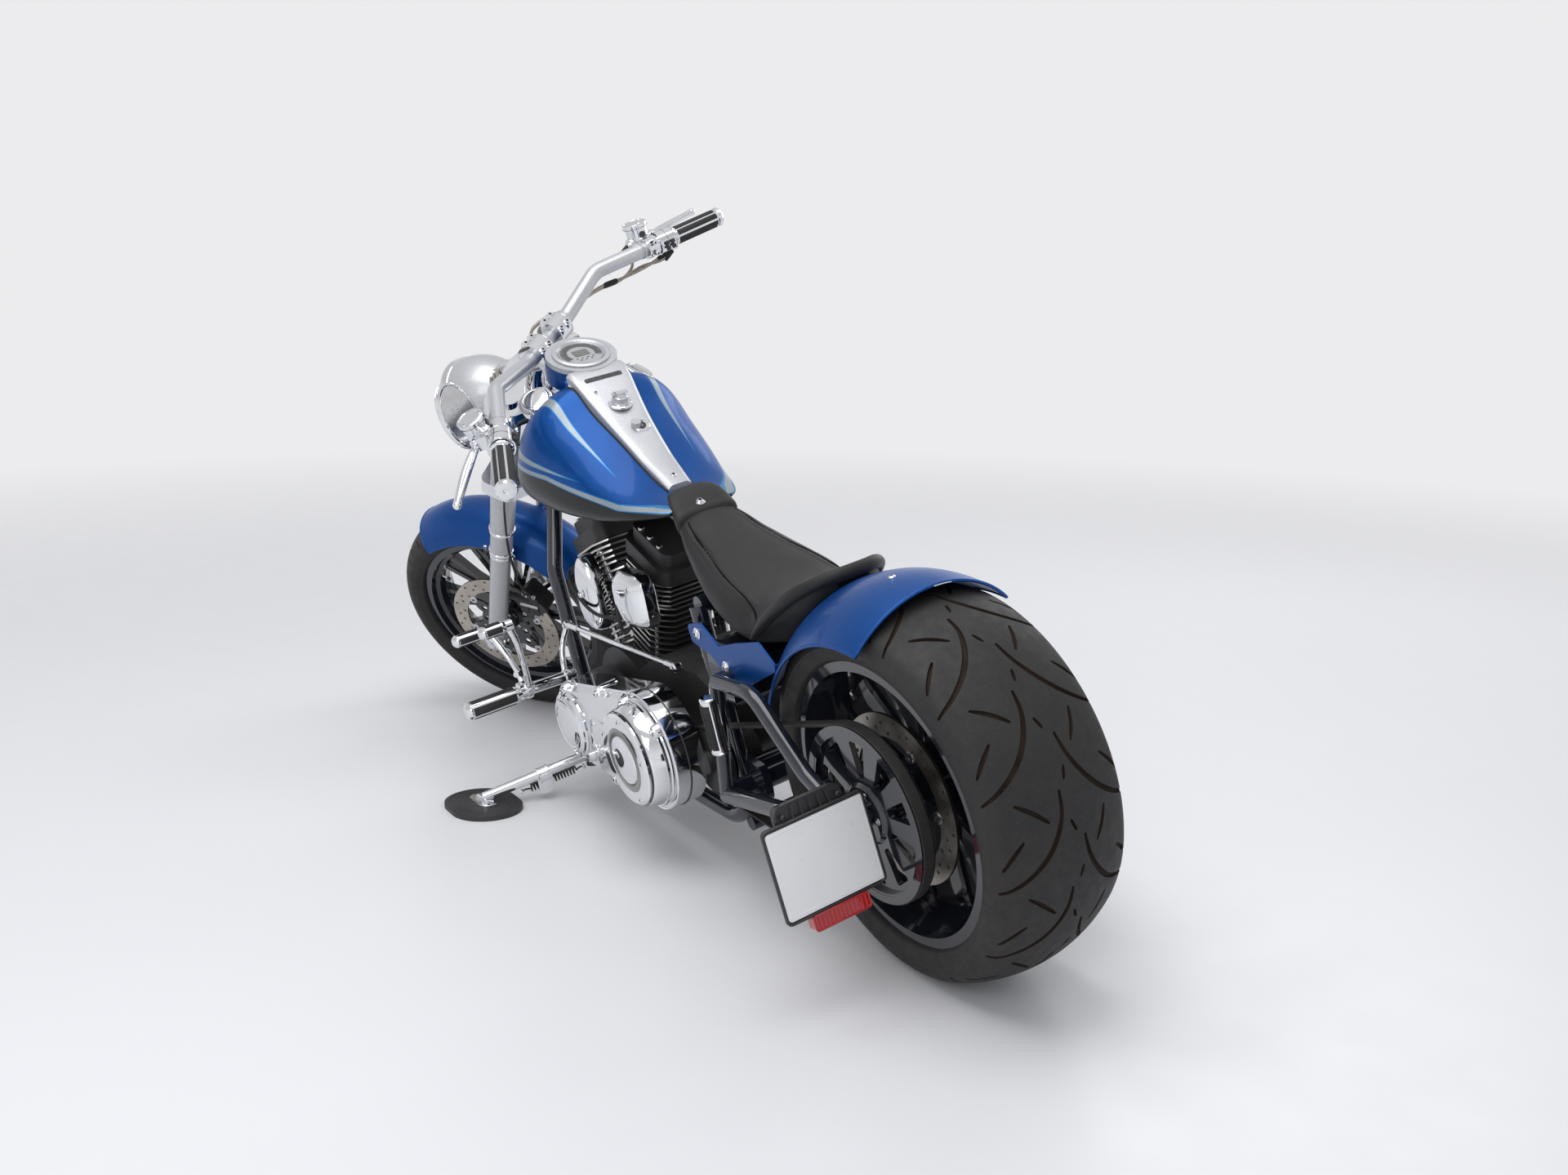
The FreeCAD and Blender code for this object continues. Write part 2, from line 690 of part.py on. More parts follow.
def air_cleaner():
    drum = turned([(0, 0), (0, 66), (12, 72), (58, 72), (70, 64), (74, 50), (74, 0)])
    neck = turned([(-60, 0), (-60, 33), (0, 33), (0, 0)])
    whole = joined([drum, neck])
    whole.rotate(vec(0, 0, 0), z_axis, 180)
    whole.translate(vec(crank_x + 4, -126, 478))
    return whole


# Left side: the horn's teardrop cover between the cylinders and the coil cover behind it
def chrome_covers():
    def pod(x, z, half_width, half_height, depth, y):
        rings = []
        for step, scale in ((0.0, 0.86), (0.45, 1.0), (0.8, 0.84), (1.0, 0.5)):
            points = []
            for i in range(16):
                angle = 2 * math.pi * i / 16
                points.append(vec(x + half_width * scale * power(math.cos(angle), 0.85), y + depth * step,
                                  z + half_height * scale * power(math.sin(angle), 0.85)))
            rings.append(smooth_ring(points))
        return Part.makeLoft(rings, True, False)
    horn = pod(1010, 492, 46, 84, 46, 92)
    coil = pod(790, 520, 62, 58, 50, 92)
    horn_stay = bar_between(vec(1000, 62, 470), vec(1004, 96, 480), 8)
    coil_stay = bar_between(vec(806, 62, 520), vec(800, 96, 520), 8)
    return Part.makeCompound([joined([horn, horn_stay]), joined([coil, coil_stay])])


def exhaust(engine):
    front = [along_cylinder(1, 306, 40, -46), along_cylinder(1, 306, 88, -134), vec(1118, -204, 400),
             vec(1040, -238, 250), vec(900, -exhaust_y, 178), vec(420, -exhaust_y, 180)]
    rear = [along_cylinder(-1, 306, -40, -46), along_cylinder(-1, 306, -72, -150),
            vec(764, -214, 400), vec(680, -exhaust_y, 288), vec(420, -exhaust_y, 284)]
    pipes = []
    for points in (front, rear):
        head = bent_tube(points, 46, exhaust_radius)
        last = points[-1]
        length = last.x - exhaust_end_x
        can = turned_about([(-8, 0), (-8, exhaust_radius + 3), (0, exhaust_radius + 3), (70, silencer_radius),
                            (length, silencer_radius), (length, silencer_radius - 9),
                            (90, silencer_radius - 12), (30, exhaust_radius - 4), (30, 0)], last,
                           vec(-1, 0, 0))
        pipes.append(joined([head, can]).cut(engine))
    return Part.makeCompound(pipes)


# Fuel tank: sections across the machine, leaning back towards the steering head
def tank_ring(x, half, low, wide, top, skew):
    points = []
    for i in range(20):
        angle = 2 * math.pi * (i + 0.5) / 20
        side = half * power(math.cos(angle), 0.78)
        if math.sin(angle) > 0:
            height = wide + (top - wide) * power(math.sin(angle), 0.92)
        else:
            height = wide + (wide - low) * power(math.sin(angle), 0.62)
        points.append(vec(x - (height - low) * skew, side, height))
    return smooth_ring(points)


def tank_body():
    return Part.makeLoft([tank_ring(*section) for section in tank_sections], True, False)


# The tank straddles the backbone, so a channel runs along its underside.
def fuel_tank():
    head = fork_point((neck_low + neck_high) / 2, 0, 0)
    path = [(post_top_x, post_top_z)] + list(reversed(backbone_bends)) + [(head.x, head.z)]
    roof = []
    for x, z in path:
        roof.append((x, z + backbone_radius * 1.08 + tank_tunnel_gap))
    outline = [(post_top_x, 400)] + roof + [(head.x, 400)]
    channel = flat_piece(side_points(outline, -tank_tunnel_half), 0, vec(0, 2 * tank_tunnel_half, 0))
    return tank_body().cut(channel)


def dial_frame(forward, across, height):
    tilt = math.radians(dial_tilt_deg)
    return vec(dial_x + forward * math.cos(tilt) - height * math.sin(tilt), across,
               dial_z + forward * math.sin(tilt) + height * math.cos(tilt))


def console(tank):
    ring = bar_between(dial_frame(0, 0, -52), dial_frame(0, 0, 0), console_ring_radius)
    rings = []
    for x, half, top, depth in ((console_rear_x, console_rear_half, 735, 30), (800, 33, 782, 40),
                                (880, 43, 842, 46), (960, 58, 904, 52), (1010, 70, 938, 56)):
        corners = [vec(x, -half, top - depth), vec(x, half, top - depth), vec(x, half, top - 6),
                   vec(x, half - 8, top), vec(x, 8 - half, top), vec(x, -half, top - 6)]
        rings.append(rounded_wire(corners, 3.0, True))
    spine = Part.makeLoft(rings, True, False)
    knob = bar_between(vec(925, 0, 862), vec(912, 0, 894), 17)
    lock = bar_between(vec(872, 0, 826), vec(862, 0, 846), 10)
    well = bar_between(dial_frame(0, 0, -9), dial_frame(0, 0, 4), dial_radius + near_gap)
    return joined([ring, spine, knob, lock]).cut(well).cut(tank)


def speedometer():
    return bar_between(dial_frame(0, 0, -9), dial_frame(0, 0, -1), dial_radius)


def fuel_caps(tank):
    normal = vec(-0.42, 0.42, 0.80).normalize()
    seat = vec(1060, 118, 898)
    cap = bar_between(seat - normal * 10, seat + normal * 11, 31)
    rim = bar_between(seat - normal * 10, seat + normal * 6, 36)
    return both_sides(joined([cap, rim])).cut(tank)


def seat_ring(x, half, low, edge, top):
    points = []
    for i in range(18):
        angle = 2 * math.pi * (i + 0.5) / 18
        reach = top - edge if math.sin(angle) > 0 else edge - low
        points.append(vec(x, half * power(math.cos(angle), 0.7),
                          edge + reach * power(math.sin(angle), 0.8)))
    return smooth_ring(points)


def seat_solid():
    return Part.makeLoft([seat_ring(*section) for section in seat_sections], True, False)


def seat_nose():
    rings = []
    for x, half, low, top in ((694, 46, 700, 736), (668, 58, 690, 727), (641, 65, 660, 708)):
        corners = [vec(x, -half, low), vec(x, half, low), vec(x, half, top - 8), vec(x, half - 14, top),
                   vec(x, 14 - half, top), vec(x, -half, top - 8)]
        rings.append(rounded_wire(corners, 4.0, True))
    return Part.makeLoft(rings, True, False)


# An arched shell turned about the wheel's axle between two angles from straight ahead
def arched_fender(half, radius, edge_radius, wall, front_deg, rear_deg):
    inner = Part.Arc(vec(0, -half, edge_radius), vec(0, 0, radius), vec(0, half, edge_radius))
    outer = Part.Arc(vec(0, -half - wall, edge_radius), vec(0, 0, radius + wall),
                     vec(0, half + wall, edge_radius))
    edges = [inner.toShape(),
             Part.LineSegment(vec(0, half, edge_radius), vec(0, half + wall, edge_radius)).toShape(),
             outer.toShape(),
             Part.LineSegment(vec(0, -half - wall, edge_radius), vec(0, -half, edge_radius)).toShape()]
    face = Part.Face(Part.Wire(Part.__sortEdges__(edges)))
    face.rotate(vec(0, 0, 0), y_axis, 90 - rear_deg)
    return face.revolve(vec(0, 0, 0), y_axis, rear_deg - front_deg)


def rear_fender():
    shell = arched_fender(fender_half, fender_radius, fender_edge_radius, fender_wall,
                          fender_front_deg, fender_rear_deg)
    shell.translate(vec(0, 0, rear_tyre_radius))
    outline = [(196, 522), (300, 470), (352, 442), (382, 462), (430, 496), (494, 508), (502, 540),
               (452, 552), (396, 520), (330, 540), (250, 560)]
    strut = flat_piece(side_points(outline, fender_half), 10, vec(0, fender_wall, 0))
    return joined([shell, strut, mirrored(strut)])


def fender_stays():
    stays = []
    for side in (1, -1):
        stays.append(bar_between(vec(496, side * rail_y, 526), vec(496, side * fender_half, 526), 9))
    return stays


def front_fender():
    shell = arched_fender(front_fender_half, front_fender_radius, front_fender_edge_radius,
                          front_fender_wall, front_fender_front_deg, front_fender_rear_deg)
    shell.translate(vec(wheelbase, 0, front_tyre_radius))
    seat = vec(wheelbase, 0, front_tyre_radius) + fork_direction * (front_fender_edge_radius + 16)
    lug = bar_between(seat + y_axis * (front_fender_half - 1), seat + y_axis * leg_y, 9)
    return joined([shell, lug, mirrored(lug)])


def oil_tank():
    body = Part.makeBox(74, 276, 118, vec(396, -138, 394))
    edges = [edge for edge in body.Edges if abs(edge.tangentAt(edge.FirstParameter).z) < 0.1]
    lug = bar_between(vec(460, 100, 452), vec(540, 104, 452), 9)
    return joined([body.makeFillet(18, edges), lug, mirrored(lug)])


# Side bracket, plate and lamp strip behind the left axle end
def plate_point(across, up, out):
    tilt = math.radians(plate_tilt_deg)
    return vec(plate_x - out * math.cos(tilt) + up * math.sin(tilt), plate_y + across,
               plate_z + up * math.cos(tilt) + out * math.sin(tilt))


def plate_panel(half_width, low, high, back, front, corner):
    points = [plate_point(-half_width, low, back), plate_point(half_width, low, back),
              plate_point(half_width, high, back), plate_point(-half_width, high, back)]
    return flat_piece(points, corner, plate_point(0, 0, front) - plate_point(0, 0, back))


def plate_holder():
    frame_panel = plate_panel(plate_width / 2 + 3, -plate_height / 2 - 6, plate_height / 2 + 6, -6, 0, 8)
    arm = bent_tube([plate_point(-30, 20, -14), vec(20, plate_y - 30, rear_tyre_radius + 40),
                     vec(30, arm_y + 6, rear_tyre_radius + 10)], 20, 11)
    hood = plate_panel(60, plate_height / 2 - 10, plate_height / 2 + 30, -22, -6, 12)
    return joined([frame_panel, hood, arm])


def number_plate():
    return plate_panel(plate_width / 2, -plate_height / 2, plate_height / 2, 0, plate_thickness, 6)


def tail_lamp():
    return plate_panel(52, -plate_height / 2 - 32, -plate_height / 2 - 6, -16, 4, 7)


# Forward controls: a bar each side of the frame carries the peg, the pedal and the lever.
def foot_controls():
    base = bar_between(vec(1112, 150, 296), vec(1112, 282, 300), 13)
    lug = bar_between(vec(1150, 124, 210), vec(1112, 168, 296), 14)
    lever = bent_tube([vec(1128, 262, 306), vec(1150, 272, 360), vec(1196, 290, 418)], 30, 7)
    heel = bent_tube([vec(1100, 262, 306), vec(1060, 276, 380), vec(1036, 292, 470)], 30, 7)
    rod = bar_between(vec(1138, 266, 330), vec(820, 150, 420), 5)
    left = joined([base, lug, lever, heel, rod])
    pedal = bent_tube([vec(1112, -262, 306), vec(1160, -278, 352), vec(1206, -300, 412)], 30, 8)
    right = joined([mirrored(base), mirrored(lug), pedal])
    return Part.makeCompound([left, right])


def foot_pegs():
    def peg(x, z, inner, outer, radius):
        return turned_about([(0, 0), (0, 10), (12, radius), (outer - inner - 8, radius),
                             (outer - inner, radius - 6), (outer - inner, 0)], vec(x, inner, z), y_axis)
    rider = peg(1100, 302, 283, 408, 18)
    shift = peg(1202, 424, 296, 368, 13)
    heel = peg(1034, 476, 299, 360, 13)
    folded = bar_between(vec(352, 206, 352), vec(356, 208, 452), 15)
    foot = bar_between(vec(arm_top_x + 16, arm_y, arm_top_z - 36), vec(354, 207, 414), 9)
    passenger = joined([folded, foot])
    brake = peg(1212, 418, 306, 366, 15)
    return Part.makeCompound([rider, shift, heel, passenger, mirrored(rider), mirrored(brake),
                              mirrored(passenger)])


def rear_caliper():
    z = rear_tyre_radius
    y = rear_disc_y
    block = flat_piece([vec(104, y - 24, z - 40), vec(176, y - 24, z - 62), vec(190, y - 24, z - 8),
                        vec(112, y - 24, z + 26)], 9, vec(0, 46, 0))
    slot = bar_between(vec(0, y - disc_thickness / 2 - 1.5, z), vec(0, y + disc_thickness / 2 + 1.5, z),
                       disc_radius + 5)
    arm = bar_between(vec(176, y + 10, z - 38), vec(176, arm_y - 12, z - 42), 8)
    return joined([block.cut(slot), arm])


# Fork: yokes with the stem, the risers and the bar clamps
def fork_yokes():
    def outline(along):
        return [fork_point(along, f, l) for f, l in ((-42, -44), (24, -162), (98, -160), (yoke_reach, 0),
                                                     (98, 160), (24, 162), (-42, 44))]
    low_start = neck_low - near_gap - yoke_thickness
    lower = flat_piece(outline(low_start), 24, fork_direction * yoke_thickness)
    upper = flat_piece(outline(neck_high + near_gap), 24, fork_direction * yoke_thickness)
    top = neck_high + near_gap + yoke_thickness
    stem = bar_between(fork_point(low_start, 0, 0), fork_point(top, 0, 0), stem_radius)
    nut = bar_between(fork_point(top - 3, 0, 0), fork_point(top + stem_nut_height, 0, 0), stem_nut_radius)
    pieces = [lower, upper, stem, nut]
    half = riser_y + clamp_half + near_gap
    bore = bar_between(fork_point(bar_axis_height, bar_offset, -half),
                       fork_point(bar_axis_height, bar_offset, half), bar_radius + near_gap)
    for side in (1, -1):
        left = side * riser_y
        post = tapered_bar(fork_point(top - 3, bar_offset, left),
                           fork_point(bar_axis_height - riser_drop, bar_offset, left),
                           riser_low_radius, riser_top_radius)
        clamp = bar_between(fork_point(bar_axis_height, bar_offset, left - clamp_half),
                            fork_point(bar_axis_height, bar_offset, left + clamp_half), clamp_radius)
        pieces.append(clamp.cut(bore).fuse(post))
        pieces.append(bar_between(fork_point(top - 3, leg_offset, side * leg_y),
                                  fork_point(top + 8, leg_offset, side * leg_y), 24))
    return joined(pieces)


def fork_legs():
    top = neck_high + near_gap
    legs = []
    for side in (1, -1):
        y = side * leg_y
        cover = tapered_bar(fork_point(cover_end, leg_offset, y), fork_point(top, leg_offset, y),
                            cover_low_radius, cover_radius)
        upper = bar_between(fork_point(slider_top, leg_offset, y), fork_point(cover_end, leg_offset, y),
                            slider_radius + 1.5)
        slider = tapered_bar(fork_point(slider_low, leg_offset, y), fork_point(slider_top, leg_offset, y),
                             slider_low_radius, slider_radius)
        foot = turned_about([(-foot_half, 0), (-foot_half, 26), (foot_half, 26), (foot_half, 0)],
                            vec(wheelbase, y, front_tyre_radius), y_axis)
        legs += [cover, upper, slider, foot]
    axle = bar_between(vec(wheelbase, -leg_y, front_tyre_radius), vec(wheelbase, leg_y, front_tyre_radius),
                       axle_radius)
    collar = bar_between(vec(wheelbase, front_hub_half + near_gap + 20, front_tyre_radius),
                         vec(wheelbase, leg_y, front_tyre_radius), 17)
    right = bar_between(vec(wheelbase, -leg_y, front_tyre_radius),
                        vec(wheelbase, -front_hub_half - near_gap, front_tyre_radius), 17)
    end = bar_between(vec(wheelbase, -leg_y, front_tyre_radius),
                      vec(wheelbase, -leg_y - foot_half - axle_end_reach, front_tyre_radius), axle_end_radius)
    return joined(legs + [axle, collar, right, end])


def handlebar_points():
    centre = fork_point(bar_axis_height, bar_offset, 0)
    left = [vec(*grip_outer), vec(*knee), centre + y_axis * 92]
    right = [vec(p.x, -p.y, p.z) for p in reversed(left)]
    return left + right


def handlebar(radius):
    return bent_tube(handlebar_points(), [0, 62, 70, 70, 62, 0], radius)


def bar_axes():
    outward = (vec(*grip_outer) - vec(*knee)).normalize()
    forward = outward.cross(z_axis).normalize()
    upward = forward.cross(outward).normalize()
    return outward, forward, upward * math.copysign(1, upward.z)


def bar_point(inboard, ahead=0.0, above=0.0):
    outward, forward, upward = bar_axes()
    return vec(*grip_outer) - outward * inboard + forward * ahead + upward * above


def grips(bar):
    sleeve = bar_between(bar_point(122), bar_point(0), grip_radius)
    cap = bar_between(bar_point(6), bar_point(-9), grip_radius + 2.5)
    return both_sides(joined([sleeve, cap]).cut(bar))


def hand_controls(bar):
    housing = bar_between(bar_point(166), bar_point(124), 27)
    clamp = bar_between(bar_point(196), bar_point(168), 24)
    master = bar_between(bar_point(214, 34, 12), bar_point(150, 34, 12), 15)
    reservoir = turned_about([(0, 0), (0, 25), (34, 25), (34, 28), (41, 28), (41, 0)],
                             bar_point(186, 36, 12), bar_axes()[2])
    bridge = bar_between(bar_point(183, 18, 7), bar_point(183, 36, 13), 13)
    lever = bar_between(bar_point(158, 46, 10), bar_point(6, 96, 8), 6.5)
    ball = Part.makeSphere(8.5, bar_point(4, 97, 8))
    neck = bar_between(bar_point(175), bar_point(159), 21)
    side = joined([housing, clamp, neck, master, reservoir, bridge, lever, ball]).cut(bar)
    return both_sides(side)


def mirror():
    centre = vec(1186, 330, 1040)
    rings = []
    for back, scale in ((0.0, 0.94), (4.0, 1.0), (14.0, 0.92), (24.0, 0.55)):
        points = []
        for i in range(16):
            angle = 2 * math.pi * i / 16
            points.append(centre + vec(back, 48 * scale * math.cos(angle), 72 * scale * math.sin(angle)))
        rings.append(smooth_ring(points))
    head = Part.makeLoft(rings, True, False)
    stem = bent_tube([centre + vec(16, 0, -10), centre + vec(40, -10, -50),
                      bar_point(190, 24, -12)], 20, 6)
    return joined([head, stem])


def turn_signals():
    base = fork_point(1040, leg_offset + cover_radius - 4, leg_y)
    stalk = bar_between(base, base + vec(30, 46, 10), 7)
    lamp = turned_about([(-26, 0), (-26, 21), (6, 21), (30, 9), (32, 0)],
                        base + vec(30, 54, 10), vec(-1, 0.0, 0.1))
    return both_sides(joined([stalk, lamp]))


# A bowl open to the front under its lens, held from the upper yoke's front edge
def headlight():
    profile = [Part.LineSegment(vec(-76, 0, 0), vec(86, 0, 0)).toShape(),
               Part.LineSegment(vec(86, 0, 0), vec(86, 0, lamp_radius - 4)).toShape(),
               Part.LineSegment(vec(86, 0, lamp_radius - 4), vec(70, 0, lamp_radius)).toShape(),
               Part.Arc(vec(70, 0, lamp_radius), vec(-6, 0, lamp_radius - 8), vec(-54, 0, 50)).toShape(),
               Part.Arc(vec(-54, 0, 50), vec(-69, 0, 29), vec(-76, 0, 10)).toShape(),
               Part.LineSegment(vec(-76, 0, 10), vec(-76, 0, 0)).toShape()]
    shell = Part.Face(Part.Wire(profile)).revolve(vec(0, 0, 0), x_axis, 360)
    shell.translate(vec(lamp_x, 0, lamp_z))
    low = neck_high + near_gap
    front = yoke_reach + near_gap
    ends = [fork_point(low + 4, front, -14), fork_point(low + yoke_thickness - 4, front, -14),
            vec(lamp_x - 14, -14, lamp_z + 60), vec(lamp_x - 40, -14, lamp_z)]
    stay = flat_piece(ends, 0, vec(0, 28, 0))
    return joined([shell, stay])


def front_caliper():
    centre = vec(wheelbase, 0, front_tyre_radius)
    y = front_disc_y
    block = flat_piece([centre + vec(-176, y - 25, 44), centre + vec(-112, y - 25, 22),
                        centre + vec(-96, y - 25, 92), centre + vec(-148, y - 25, 118)], 10, vec(0, 50, 0))
    slot = bar_between(centre + y_axis * (y - disc_thickness / 2 - 1.5),
                       centre + y_axis * (y + disc_thickness / 2 + 1.5), disc_radius + 5)
    arm = bar_between(centre + vec(-140, y + 14, 70), fork_point(505, leg_offset, leg_y), 10)
    return joined([block.cut(slot), arm])


# Braided lines from the right-hand control down to the top yoke
def cable_radii(points):
    radii = [0]
    for i in range(1, len(points) - 1):
        back = points[i - 1] - points[i]
        ahead = points[i + 1] - points[i]
        half_turn = (math.pi - back.getAngle(ahead)) / 2
        radii.append(0.45 * min(back.Length, ahead.Length) / math.tan(half_turn))
    return radii + [0]


def control_cables():
    cables = []
    for strand in range(3):
        spread = vec(8, 6, -5) * strand
        left_side = [bar_point(152, -6, -26), bar_point(196, 14, -40), bar_point(256, 26, -48),
                     bar_point(318, 36, -44), vec(1228, 165, 985), vec(1262, 116, 1000),
                     vec(1286, 82, 996), vec(1294, 70, 960)]
        points = [vec(p.x, -p.y, p.z) + vec(spread.x, -spread.y, spread.z) for p in left_side]
        cables.append(bent_tube(points, cable_radii(points), 3.5))
    return Part.makeCompound(cables)


def world_matrix(tyre_rear, tyre_front):
    leaning = FreeCAD.Placement(vec(0, 0, 0), FreeCAD.Rotation(x_axis, -lean_deg))
    pitch = 0.0
    for _ in range(6):
        tilt = FreeCAD.Placement(vec(0, 0, 0), FreeCAD.Rotation(y_axis, pitch)).multiply(leaning)
        rear_low = lowest(tyre_rear, tilt)
        front_low = lowest(tyre_front, tilt)
        pitch += math.degrees(math.atan2(front_low.z - rear_low.z, front_low.x - rear_low.x))
    raised = FreeCAD.Placement(vec(0, 0, -lowest(tyre_rear, tilt).z), FreeCAD.Rotation())
    return raised.multiply(tilt)


def lowest(shape, placement):
    points = [placement.multVec(p) for p in shape.tessellate(0.4)[0]]
    return min(points, key=lambda p: p.z)


def steered(shape):
    turned_shape = shape.copy()
    turned_shape.rotate(fork_base, fork_direction, steer_stop_deg)
    return turned_shape


def stand_axis():
    lean = math.radians(stand_axis_deg)
    return vec(math.sin(lean), 0, math.cos(lean))


def foot_outline(centre, length, width, z):
    return [centre + vec(x * length / 2, y * width / 2, z)
            for x, y in ((-1, -1), (1, -1), (1, 1), (-1, 1))]


# Side stand in the leaning machine's own frame, and the puck flat on the floor
def stand_and_puck(to_world):
    centre = vec(puck_x, puck_y, 0)
    puck = flat_piece(foot_outline(centre, puck_length, puck_width, 0), puck_width * 0.49,
                      vec(0, 0, puck_height))
    sole_z = puck_height + near_gap
    foot = flat_piece(foot_outline(centre, foot_length, foot_width, sole_z), foot_width * 0.45,
                      vec(0, 0, foot_thickness))
    pivot = to_world.multVec(vec(*stand_pivot))
    pin = to_world.Rotation.multVec(stand_axis())
    ankle = centre + vec(0, 0, sole_z + foot_thickness)
    leg = bar_between(pivot, ankle + vec(0, 0, stand_radius * 0.4), stand_radius)
    leg = leg.common(Part.makeBox(4000, 4000, 4000, vec(-2000, -2000, sole_z + 1)))
    eye = bar_between(pivot - pin * 15, pivot + pin * 15, 19)
    collar = bar_between(pivot + (ankle - pivot) * 0.42, pivot + (ankle - pivot) * 0.50, stand_radius + 5)
    hole = bar_between(pivot - pin * 40, pivot + pin * 40, stand_pin_radius + stand_pin_fit)
    return joined([foot, leg, eye, collar]).cut(hole), puck


# A lug welded to the left rail holds the stand's pin below the primary cover.
def stand_bracket():
    pivot = vec(*stand_pivot)
    pin_axis = stand_axis()
    low = pivot - pin_axis * (15.3 + 9)
    lug = bar_between(low, pivot - pin_axis * 15.3, 20)
    arm = bar_between(vec(low.x, rail_y, low.z + 5), low + pin_axis * 4.5, 4.5)
    web = flat_piece([low + vec(-26, 0, -1), low + vec(-26, rail_y - pivot.y, -1),
                      low + vec(26, rail_y - pivot.y, -1), low + vec(26, 0, -1)], 6, vec(0, 0, 6))
    pin = bar_between(low, pivot + pin_axis * 20, stand_pin_radius)
    return [arm, web, lug, pin]


# Points that other machines' pieces meet
def stem_nut_point():
    return fork_point(neck_high + near_gap + yoke_thickness + stem_nut_height, 0, 0)


def plate_face_point():
    return plate_point(0, 0, plate_thickness)


def plate_normal():
    return plate_point(0, 0, 1) - plate_point(0, 0, 0)


# The machine's box, from its surface points
def overall_box(shapes):
    points = [p for shape in shapes for p in shape.tessellate(0.5)[0]]
    xs = [p.x for p in points]
    ys = [p.y for p in points]
    zs = [p.z for p in points]
    return (min(xs), max(xs)), (min(ys), max(ys)), (min(zs), max(zs))


def main():
    os.makedirs("parts", exist_ok=True)
    chassis = joined([frame()] + pivot_lugs() + fender_stays() + stand_bracket())
    arm = swingarm()
    chassis = chassis.cut(bar_between(vec(pivot_x, -300, pivot_z), vec(pivot_x, 300, pivot_z), 20))
    tank = fuel_tank()
    cases = engine_cases().cut(chassis)
    fender = rear_fender().cut(chassis).cut(arm)
    front_cylinder = cylinder(1)
    cylinders = Part.makeCompound([front_cylinder, cylinder(-1).cut(front_cylinder)]).cut(cases)
    rockers = Part.makeCompound([rocker_cover(1), rocker_cover(-1)])
    holder = plate_holder().cut(arm)
    seat = seat_solid()
    arch = turned([(-160, 0), (-160, fender_edge_radius + 10), (-100, fender_radius - 12),
                   (-50, fender_radius + 5), (50, fender_radius + 5), (100, fender_radius - 12),
                   (160, fender_edge_radius + 10), (160, 0)])
    arch.translate(vec(0, 0, rear_tyre_radius))
    seat = seat.cut(arch).cut(chassis).cut(fender)
    nose = seat_nose().cut(tank).cut(seat).cut(chassis)
    bar = handlebar(bar_radius)
    bar_room = handlebar(bar_radius + near_gap)
    legs = fork_legs()
    yokes = fork_yokes().cut(legs)
    hands = hand_controls(bar_room)
    root = {
        "frame": chassis, "swingarm": arm, "engine-cases": cases,
        "cylinders": cylinders, "rocker-covers": rockers,
        "cam-cover": cam_cover(), "primary-cover": primary_cover(), "derby-cover": derby_cover(),
        "air-cleaner": air_cleaner().cut(cylinders), "chrome-covers": chrome_covers().cut(cylinders),
        "exhaust": exhaust(Part.makeCompound([cylinders, rockers])),
        "fuel-tank": tank, "console": console(tank_body()), "speedometer": speedometer(),
        "fuel-caps": fuel_caps(tank), "seat": seat, "seat-nose": nose, "rear-fender": fender,
        "oil-tank": oil_tank().cut(chassis), "plate-holder": holder, "number-plate": number_plate(),
        "tail-lamp": tail_lamp(), "foot-controls": foot_controls().cut(chassis), "foot-pegs": foot_pegs().cut(arm),
        "drive-belt": drive_belt(), "rear-caliper": rear_caliper().cut(arm),
    }
    steering = {
        "fork-yokes": yokes, "fork-legs": legs, "front-fender": front_fender().cut(legs), "headlight": headlight(),
        "handlebar": bar, "grips": grips(bar_room), "hand-controls": hands, "mirror": mirror().cut(hands),
        "turn-signals": turn_signals().cut(legs),
        "front-caliper": front_caliper().cut(legs),
        "control-cables": control_cables().cut(hands).cut(yokes),
    }
    rear = {"rear-rim": rear_rim(),
            "rear-tyre": tyre(rear_tyre_radius, rear_tyre_half, rear_bead_radius, rear_rim_half,
                              rear_flange_radius),
            "rear-disc": brake_disc(rear_disc_y, rear_hub_half, rear_hub_radius),
            "rear-pulley": rear_pulley()}
    front = {"front-rim": front_rim(),
             "front-tyre": tyre(front_tyre_radius, front_tyre_half, front_bead_radius, front_rim_half,
                                front_flange_radius),
             "front-disc": brake_disc(front_disc_y, front_hub_half, front_hub_radius)}
    for shape in rear.values():
        shape.translate(vec(0, 0, rear_tyre_radius))
    for shape in front.values():
        shape.translate(vec(wheelbase, 0, front_tyre_radius))
    turning = {name: steered(shape) for name, shape in list(steering.items()) + list(front.items())}
    to_world = world_matrix(rear["rear-tyre"], turning["front-tyre"])
    shapes = dict(root)
    shapes.update(rear)
    shapes.update(turning)
    for name, shape in shapes.items():
        shape.Placement = to_world.multiply(shape.Placement)
    shapes["side-stand"], shapes["stand-puck"] = stand_and_puck(to_world)
    (x0, x1), (y0, y1), (z0, _) = overall_box(shapes.values())
    to_centre = FreeCAD.Placement(vec(-(x0 + x1) / 2, -(y0 + y1) / 2, -z0), FreeCAD.Rotation())
    for shape in shapes.values():
        shape.Placement = to_centre.multiply(shape.Placement)
    to_world = to_centre.multiply(to_world)
    for name, shape in shapes.items():
        print(name, shape.isValid(), len(shape.Solids), round(shape.Volume))
        shape.exportStep("parts/" + name + ".step")
    return shapes, to_world


shapes, to_world = main()
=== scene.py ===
import json
from math import asin, atan2, copysign, cos, exp, hypot, pi, radians, sin, sqrt, tan
import bpy
from mathutils import Matrix, Vector
from mathutils.bvhtree import BVHTree
from mathutils.geometry import delaunay_2d_cdt
from mathutils.kdtree import KDTree


